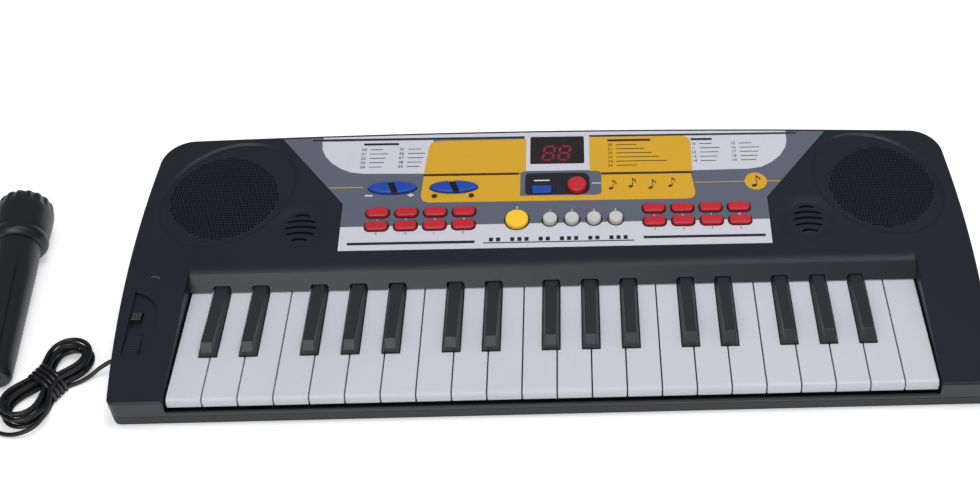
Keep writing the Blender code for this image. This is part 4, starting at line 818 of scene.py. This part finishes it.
def makeButtons():
    b = buttons
    looks = {"red_buttons_left": (redAbs, "red_buttons", b["redSize"][2], 0.0011),
             "red_buttons_right": (redAbs, "red_buttons", b["redSize"][2], 0.0011),
             "grey_buttons": (flakeAbs, "grey_buttons", b["silverHeight"], 0.0012),
             "drum_button": (yellowAbs, "yellow_button", b["drum"][3], 0.0014),
             "stop_button": (redAbs, "red_buttons", b["stop"][3], 0.0016),
             "demo_button": (blueAbs, "blue_buttons", b["demo"][4], 0.0005)}
    outlines = capOutlines()
    for node, (material, slot, height, rounding) in looks.items():
        bm = coverBox(outlines[node], 0.0030, b["webTop"] - b["webThick"], b["webTop"])
        for outline in outlines[node]:
            cap = bevelTop(prism(outline, b["webTop"] - 0.0001, height, surface), rounding, 5, surface)
            mesh = bpy.data.meshes.new("cap")
            cap.to_mesh(mesh)
            cap.free()
            bm.from_mesh(mesh)
            bpy.data.meshes.remove(mesh)
        name = node.split("_")[0] + "Buttons" + node.split("_")[-1].capitalize()
        newPiece(name, bm, material, node, [node])
    slant, notch = Matrix.Rotation(math.radians(b["notchSlant"]), 4, "Z"), b["notchHalf"]
    for node, x in b["rockers"].items():  # two halves with a slanting notch, and a low dark bar in it
        place = onSurface(x, b["rockerSetback"])
        width, depth, height = b["rockerSize"]
        whole = bevelTop(prism(oval(width, depth, 72), b["rockerFoot"], height), 0.0015, 6, Matrix())
        halves = combined(whole, [box((-notch, -0.02, 0.0002), (notch, 0.02, 0.01), slant)])
        halves = box((-0.004, -0.0076, b["webTop"] - b["webThick"]), (0.004, 0.0076, b["webTop"]), bm=halves)
        newPiece(node.split("_")[0] + "Rocker", moved(halves, place), blueAbs, node, [node])
        width, depth, height = b["barSize"]
        bar = bevelTop(prism(oval(width, depth, 64), 0.0003, height), 0.0004, 4, Matrix())
        inner = notch - 0.0001
        bar = combined(bar, [box((-inner, -0.02, 0.0001), (inner, 0.02, 0.01), slant)], "INTERSECT")
        newPiece(node.split("_")[0] + "RockerBar", moved(bar, place), blackAbs, node)


makeButtons()

# Power switch: ribbed knob on its slide, in a pointed recess with a ribbed finger ramp
switch = {"x": -0.2332, "setback": 0.0545, "width": 0.0052, "length": 0.0052, "travel": 0.0040,
          "recessDepth": 0.0018, "ribs": 4, "knobFoot": -0.0058, "groove": -0.0001, "rib": 0.0003,
          "slide": (-0.0047, -0.0036), "ramp": (-0.0257, -0.0088), "rampWidth": (-0.0034, 0.0050),
          "steps": 9}
recessPoints = [(-0.0038, -0.0258), (0.0094, -0.0258), (0.0103, -0.0225), (0.0110, -0.0160),
                (0.0116, -0.0110), (0.0118, -0.0068), (0.0116, -0.0015), (0.0106, 0.0033), (0.0090, 0.0072),
                (0.0068, 0.0102), (0.0040, 0.0128), (0.0004, 0.0150), (-0.0038, 0.0164)]


def makeSwitch():
    s = switch
    place = onSurface(s["x"], s["setback"])
    half, pitch, foot = s["width"] / 2, s["length"] / s["ribs"], s["knobFoot"]
    knob = [(-half, foot)]
    for y in (-half + pitch * rib for rib in range(s["ribs"])):
        knob += [(y, s["groove"]), (y + pitch * 0.30, s["rib"]), (y + pitch * 0.70, s["rib"]),
                 (y + pitch, s["groove"])]
    bm = prism(knob + [(half, foot)], -half, half, place @ alongX)
    reach = s["length"] / 2 + s["travel"] + 0.0015
    low, high = s["slide"]
    box((-half - 0.002, -reach, low), (half + 0.002, reach, high), place, bm)
    newPiece("powerKnob", bm, microphoneAbs, "power_switch", ["power_switch"])
    # The ramp rises from the recess's floor to the case's surface, with fine steps across it
    front, rear = s["ramp"]
    ramp = [(rear, -s["recessDepth"]), (front, -s["recessDepth"]), (front, s["groove"])]
    for step in range(s["steps"]):
        y, z = -0.0235 + 0.00165 * step, -0.0002 - 0.00015 * step
        ramp += [(y - 0.0006, z), (y, z - 0.00035), (y + 0.0003, z - 0.00035)]
    bm = prism(ramp, *s["rampWidth"], place @ alongX)
    newPiece("switchRamp", bm, caseStyrene, "case")
    # A plain printed curve behind the recess
    markArc = [arc((-0.2283, upSlope(0.0775)), radius, 40, 115, 10) for radius in (0.0042, 0.0036)]
    bm = prism(markArc[0] + markArc[1][::-1], 0.00001, 0.00004, surface)
    newPiece("switchMark", bm, greyInk, "case")


makeSwitch()

# Top case
top = {"rim": 0.0016, "rimSteps": 6, "wall": 0.0022, "roof": 0.0032, "railWall": 0.0016, "railTop": 0.0087,
       "footSetback": 0.0768, "footZ": 0.0173, "crest": (0.0838, 0.0254), "crestEnd": 0.0895,
       "crestBow": 0.0019, "ridgeWall": 0.0018, "cheekWall": 0.0018, "cheekEdge": 0.0011,
       "railEdge": 0.0008, "notchGap": 0.0006, "notchRound": 0.0016, "tall": 0.06, "clear": 0.004,
       "through": (-0.008, 0.003), "window": (-0.0070, -0.0010), "speakerX": 0.1982,
       "speakerSetback": 0.1402, "dish": (0.0445, 0.0365), "dishWall": (-0.0020, 0.0004),
       "dishTurn": 50, "dishShift": 0.0035, "dishDepth": 0.0013, "ventX": 0.150, "ventSetback": 0.1160,
       "ventRadius": 0.0190, "ventFloor": 0.0125, "ventDepth": 0.0013, "ventDome": 0.0008,
       "slotWidth": 0.0016, "slotStep": 0.0045, "slotReach": 0.0104, "slotBow": 0.0012}
# Speaker grilles: square holes in a low dome, moulded with the case
grille = {"radius": 0.0338, "pitch": 0.0017, "hole": 0.00080, "border": 0.0012, "dome": 0.0009,
          "thickness": 0.0010}


def caseOutline(inset=0.0):
    b = body
    rear = -b["frontY"] - b["rearBow"]
    frontRound, rearRound = b["cornerFront"] - inset, b["cornerRear"] - inset
    frontX, rearX = b["halfFront"] - inset, b["halfRear"] - inset
    near, far = b["frontY"] + inset, rear - inset
    half = arc((frontX - frontRound, near + frontRound), frontRound, -90, 0, 12)
    low, high = near + frontRound, far - rearRound
    for i in range(1, 24):
        share = i / 24
        half.append((frontX + (rearX - frontX) * share + b["sideBow"] * 4 * share * (1 - share),
                     low + (high - low) * share))
    half += arc((rearX - rearRound, far - rearRound), rearRound, 0, 90, 24)
    span = rearX - rearRound
    half += [(span * i / 12, far + b["rearBow"] * (1 - (i / 12) ** 2)) for i in range(11, -1, -1)]
    return half + [(-x, y) for x, y in reversed(half[:-1])]


def sliced(bm, point):
    # Cuts away everything above the plane through a point that is parallel to the sloping top
    normal = Vector((0, -math.sin(slope), math.cos(slope)))
    cut = bmesh.ops.bisect_plane(bm, geom=bm.verts[:] + bm.edges[:] + bm.faces[:], plane_co=point,
                                 plane_no=normal, clear_outer=True)
    rim = [item for item in cut["geom_cut"] if isinstance(item, bmesh.types.BMEdge)]
    return bmesh.ops.contextual_create(bm, geom=rim)["faces"]


def ringStack(levels, long, short, place, steps=72):
    # A closed cutter from rings of (run, height), each an oval that is grown by its run
    bm = bmesh.new()
    rings = [[bm.verts.new((x, y, height)) for x, y in oval(2 * (long + run), 2 * (short + run), steps)]
             for run, height in levels]
    loops = [[bm.edges.new(pair) for pair in zip(ring, ring[1:] + ring[:1])] for ring in rings]
    for lower, upper in zip(loops, loops[1:]):
        bmesh.ops.bridge_loops(bm, edges=lower + upper)
    bm.faces.new(rings[0])
    bm.faces.new(rings[-1])
    return moved(bm, place)


def speakerPlace(side):
    t = top
    place = onSurface(side * t["speakerX"], t["speakerSetback"])
    return place, (place @ Matrix.Rotation(-side * math.radians(t["dishTurn"]), 4, "Z")
                   @ Matrix.Translation((-side * t["dishShift"], 0, 0)))


def dishCutter(side):
    inner, outer = top["dishWall"]
    levels = [(inner, -top["dishDepth"])]
    for share in (i / 8 for i in range(1, 9)):  # soft wall: steep below, easing out into the top surface
        levels.append((inner + (outer - inner) * share, -top["dishDepth"] * (1 - share) ** 1.7))
    levels.append((outer, top["clear"]))
    return ringStack(levels, *top["dish"], speakerPlace(side)[1])


def ventCutters(side):
    t = top
    place = onSurface(side * t["ventX"], t["ventSetback"])
    radius, floor, depth, dome = (t[k] for k in ("ventRadius", "ventFloor", "ventDepth", "ventDome"))
    shares = [i / 6 for i in range(1, 7)]  # the middle is a low dome, the wall a hollow cone
    levels = [(-radius + 0.0005, -dome)]
    levels += [(-radius + floor * share, -dome - (depth - dome) * share ** 2) for share in shares]
    levels += [((floor - radius) * (1 - share), -depth * (1 - share) ** 1.5) for share in shares]
    levels.append((0.0, t["clear"]))
    slots = bmesh.new()
    for index in range(5):
        offset = (index - 2) * t["slotStep"]
        half = math.sqrt(t["slotReach"] ** 2 - offset ** 2) * 0.9
        upper, lower = [], []
        for share in (i / 8 - 1 for i in range(17)):
            y = offset + t["slotBow"] * (0.5 - share * share)
            pinch = t["slotWidth"] / 2 * math.sqrt(max(1 - share ** 8, 0.02))
            upper.append((half * share, y + pinch))
            lower.append((half * share, y - pinch))
        prism(lower + upper[::-1], *t["through"], place, slots)
    return [ringStack(levels, radius, radius, place, 60), slots]


def makeTopCase():
    t, b = top, body
    tall, low, far = t["tall"], b["partingZ"] - 0.002, 3 * b["frontY"]
    shell = prism(caseOutline(), b["partingZ"] + b["gap"] / 2, tall)
    lid = sliced(shell, (0, b["frontY"], b["topFrontZ"]))
    bevelled(shell, [e for f in lid for e in f.edges], t["rim"], t["rimSteps"])
    footY, footZ = setbackY(t["footSetback"]), t["footZ"]
    crestY, crestZ = setbackY(t["crest"][0]), t["crest"][1]
    endY = setbackY(t["crestEnd"])
    endZ = surfaceZ(endY)
    # Crest: a shallow bow from the ridge's front edge to the sloping top
    crest = [(crestY + (endY - crestY) * share,
              crestZ + (endZ - crestZ) * share + t["crestBow"] * share * (1 - share))
             for share in (i / 8 for i in range(9))]
    lean = (crestY - footY) / (crestZ - footZ)
    skin = t["ridgeWall"] * math.sqrt(1 + lean ** 2)
    half = b["wellHalf"] + t["cheekWall"]
    surround = prism([(far, low), (far, tall), (footY + lean * (tall - footZ) + skin, tall),
                      (footY + skin, footZ), (footY + skin, low)], -half, half, alongX)
    cavity = prism(caseOutline(t["wall"]), low, tall)
    sliced(cavity, surface @ Vector((0, 0, -t["roof"])))
    cavity = combined(cavity, [surround])
    railY, edge, half = b["frontY"] + t["railWall"], t["railEdge"], b["wellHalf"]
    railRound = arc((b["frontY"] + edge, t["railTop"] - edge), edge, 90, 180, 5)
    well = prism([(railY, low), (railY, t["railTop"])] + railRound
                 + [(far, t["railTop"] - edge), (far, tall), (endY + 0.001, tall),
                    (endY + 0.001, endZ + 0.0004)] + crest[::-1]
                 + [(footY, footZ), (footY + skin + 0.001, footZ), (footY + skin + 0.001, low)],
                 -half, half, alongX)
    tools = [cavity, well]
    for side in (-1, 1):  # rounded inner edges of the cheeks, along the slope
        r = t["cheekEdge"]
        corner = [(side * (half - 0.001), 0.002), (side * (half - 0.001), -r)]
        corner += [(side * (half + r - r * math.cos(a)), -r + r * math.sin(a))
                   for a in (math.pi / 2 * i / 5 for i in range(6))]
        corner.append((side * (half + r), 0.002))
        tools.append(prism(corner, -0.01, upSlope(t["crest"][0]), surface @ alongY))
    notches, r = bmesh.new(), t["notchRound"]
    half = keys["blackWidth"] / 2 + t["notchGap"]
    high = blackTopZ(t["footSetback"]) + t["notchGap"]
    for x in blackX.values():
        outline = [(x - half, footZ - 0.002), (x + half, footZ - 0.002)]
        outline += arc((x + half - r, high - r), r, 0, 90, 5) + arc((x - half + r, high - r), r, 90, 180, 5)
        prism(outline, footY - 0.004, setbackY(keys["hingeSetback"]) - 0.002, alongY, notches)
    tools += [notches, prism(panelOutline(b["gap"]), -panel["thickness"] - b["gap"], 0.006, surface)]
    windows = bmesh.new()
    for outlines in capOutlines(0.001).values():
        coverBox(outlines, 0.0, *t["window"], windows)
    coverBox([displayOutline()], -0.0022, *t["window"], windows)
    tools.append(windows)
    wide = 2 * grille["radius"] + 0.0001
    for side in (-1, 1):
        tools += [dishCutter(side), prism(oval(wide, wide, 96), *t["through"], speakerPlace(side)[0])]
        tools += ventCutters(side)
    place = onSurface(switch["x"], switch["setback"])
    tools.append(prism(recessPoints, -switch["recessDepth"], t["clear"], place))
    half, reach = switch["width"] / 2 + 0.0005, switch["length"] / 2 + 0.0005
    tools.append(box((-half, -reach - switch["travel"], -0.008), (half, reach, 0.001), place))
    hole = (Matrix.Translation((-b["halfFront"], setbackY(cord["exitSetback"]), b["partingZ"]))
            @ Matrix.Rotation(math.pi / 2, 4, "Y"))
    tools.append(prism(oval(cord["hole"], cord["hole"], 24), -0.012, 0.012, hole))
    newPiece("topShell", combined(shell, tools), caseStyrene, "case", ["top_case"])


makeTopCase()
print("top case made")


def makeGrille(side):
    radius, pitch = grille["radius"], grille["pitch"]
    cells = 2 * int(radius / pitch) + 2
    bm = bmesh.new()
    bmesh.ops.create_grid(bm, x_segments=cells, y_segments=cells, size=cells * pitch / 2)
    outer = [f for f in bm.faces if f.calc_center_median().length > radius - pitch * 0.2]
    bmesh.ops.delete(bm, geom=outer, context="FACES")
    for v in {v for e in bm.edges if e.is_boundary for v in e.verts}:
        v.co = v.co.normalized() * radius
    pierced = [f for f in bm.faces if f.calc_center_median().length < radius - grille["border"]
               and not any(e.is_boundary for v in f.verts for e in v.link_edges)]
    bmesh.ops.inset_individual(bm, faces=pierced, thickness=(pitch - grille["hole"]) / 2)
    bmesh.ops.delete(bm, geom=pierced, context="FACES")
    for v in bm.verts:
        v.co.z = grille["dome"] * (1 - (v.co.xy.length / radius) ** 2) - top["dishDepth"]
    bmesh.ops.recalc_face_normals(bm, faces=bm.faces)
    if sum(f.normal.z for f in bm.faces) < 0:
        bmesh.ops.reverse_faces(bm, faces=bm.faces)
    bmesh.ops.solidify(bm, geom=bm.faces[:], thickness=grille["thickness"])
    moved(bm, speakerPlace(side)[0])
    newPiece("speakerGrille" + ("Left" if side < 0 else "Right"), bm, caseStyrene, "case")


for side in (-1, 1):
    makeGrille(side)


def makeMicrophone():
    m, place = mic, micPlace()
    neck, tail, shoulder, r = (m[k] for k in ("neckRadius", "tailRadius", "shoulder", "footRound"))
    handle = [(0.0, m["handleEnd"]), (neck, m["handleEnd"]), (neck, shoulder)]
    handle += [(neck + (tail - neck) * i / 10, shoulder - (shoulder - r) * i / 10) for i in range(1, 11)]
    handle += arc((tail - r, r), r, 0, -90, 6)[1:]
    handle += [(0.0052, 0.0), (0.0046, -0.0006), (0.0036, -0.0010)]
    for ring in range(3):  # strain relief in three ribs
        z = -0.0018 - 0.0024 * ring
        width = 0.0034 - 0.0004 * ring
        handle += [(width - 0.0006, z), (width, z - 0.0006), (width, z - 0.0012),
                   (width - 0.0006, z - 0.0018)]
    handle += [(0.0021, -m["bootLength"]), (0.0, -m["bootLength"])]
    bm = spun(handle, m["steps"])
    for v in bm.verts:  # seam between the handle's two halves
        angle = math.degrees(math.atan2(v.co.y, v.co.x))
        if 0.003 < v.co.z < m["neckAt"] - 0.001 and min(abs(angle - seam) for seam in m["seam"]) < 1.5:
            for axis in (0, 1):
                v.co[axis] *= 1 - m["seamDepth"] / v.co.xy.length
    newPiece("micHandle", moved(bm, place), microphoneAbs, "case", ["mic_handle"], True)
    head = [(0.0, 0.133), (0.0050, 0.1328), (0.0090, 0.1320), (0.0118, 0.1308), (0.0136, 0.1296),
            (0.0148, 0.1282), (0.0156, 0.1262), (0.0161, 0.1235), (0.0164, 0.1205), (0.0165, 0.1190),
            (0.01645, 0.1160), (0.0162, 0.1100), (0.0158, 0.1045), (0.0155, 0.1030), (0.0154, 0.1024),
            (0.0158, 0.1019), (0.0161, 0.1010), (0.0162, 0.0998), (0.0161, 0.0986), (0.0157, 0.0976),
            (0.0151, 0.0968), (0.0144, 0.0960), (0.0136, 0.0953), (0.0127, 0.0948), (0.0, 0.0945)]
    bm = spun(head, m["steps"])
    for v in bm.verts:  # teeth round the rim of the head
        radius = v.co.xy.length
        if radius > 0.008 and 0.1225 < v.co.z < 0.1322:
            wave = math.cos(m["teeth"] * math.atan2(v.co.y, v.co.x))
            dip = m["toothDepth"] * min(max(0.5 - 1.6 * wave, 0.0), 1.0)
            for axis in (0, 1):
                v.co[axis] *= 1 - dip / radius
    newPiece("micHead", moved(bm, place), microphoneAbs, "case", ["mic_head"], True)


makeMicrophone()
print("microphone made")

# CAD nodes that are shown as they are
kept = {"bottom_case": baseStyrene, "battery_cover": baseStyrene, "contact_board": boardLaminate,
        "main_board": boardLaminate, "speaker_left": conePaper, "speaker_right": conePaper}
for node, material in kept.items():
    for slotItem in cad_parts[node].material_slots:
        slotItem.material = material

# Stage: white floor that keeps the shadow, plain soft light
stage = {"floorSize": 5.0, "glow": 0.16, "cameraGlow": 0.18, "world": 0.45, "gloss": 0.16,
         "front": (8.5, (-0.45, -1.35, 1.05), 1.1, 0.7), "above": (15.0, (0.35, 0.20, 1.6), 0.9, 0.7),
         "edge": (5.0, (0.25, -0.55, 1.5), 1.6, 0.12)}


def makeStage():
    bm = bmesh.new()
    bmesh.ops.create_grid(bm, x_segments=1, y_segments=1, size=stage["floorSize"])
    bmesh.ops.translate(bm, vec=(0, 0, body["tableZ"]), verts=bm.verts)
    mesh = bpy.data.meshes.new("floor")
    bm.to_mesh(mesh)
    bm.free()
    # White paper sweep: matt, with a little of its own white for the camera and in reflections
    material, shader, place = newMaterial("whitePaper", 1.0)
    shader.inputs["Base Color"].default_value = hexColour("#f4f4f6")
    shader.inputs["Specular IOR Level"].default_value = 0.0
    path = addNode(material, "LightPath").outputs
    seen = addNode(material, "Math", {"operation": "MAXIMUM"},
                   {0: path["Is Camera Ray"], 1: path["Is Glossy Ray"]})
    seen = addNode(material, "Math", {"operation": "MAXIMUM"},
                   {0: seen.outputs[0], 1: path["Is Transmission Ray"]})
    glow = addNode(material, "Math", {"operation": "MULTIPLY"}, {0: seen.outputs[0], 1: stage["glow"]})
    glow = addNode(material, "Math", {"operation": "MULTIPLY_ADD"},
                   {0: path["Is Camera Ray"], 1: stage["cameraGlow"], 2: glow.outputs[0]})
    shader.inputs["Emission Color"].default_value = (1, 1, 1, 1)
    material.node_tree.links.new(glow.outputs[0], shader.inputs["Emission Strength"])
    mesh.materials.append(material)
    floor = newObject("floor", mesh)

    # Soft white surround: full for the camera, dimmer as light and dimmer still in reflections
    world = bpy.data.worlds.new("studio")
    world.use_nodes = True
    bpy.context.scene.world = world
    sky = world.node_tree.nodes["Background"].inputs
    sky["Color"].default_value = (1, 1, 1, 1)
    path = addNode(world, "LightPath").outputs
    dim = addNode(world, "MapRange", links={"Value": path["Is Glossy Ray"], "To Min": stage["world"],
                                            "To Max": stage["gloss"]})
    pick = addNode(world, "MapRange", links={"Value": path["Is Camera Ray"], "To Min": dim.outputs["Result"],
                                             "To Max": 1.0})
    world.node_tree.links.new(pick.outputs["Result"], sky["Strength"])
    for name in ("front", "above", "edge"):
        power, spot, width, height = stage[name]
        lamp = bpy.data.lights.new(name + "Lamp", "AREA")
        lamp.shape, lamp.size, lamp.size_y, lamp.energy = "RECTANGLE", width, height, power
        holder = newObject(name + "Lamp", lamp)
        aim = (-Vector(spot)).normalized().to_track_quat("-Z", "Y").to_matrix().to_4x4()
        holder.matrix_world = Matrix.Translation(spot) @ aim
        holder.visible_glossy = name != "above"
        holder.visible_diffuse = name != "edge"  # a strip that only shows on rounded edges


makeStage()
bpy.context.scene.view_settings.view_transform = "Standard"
print("stage made")
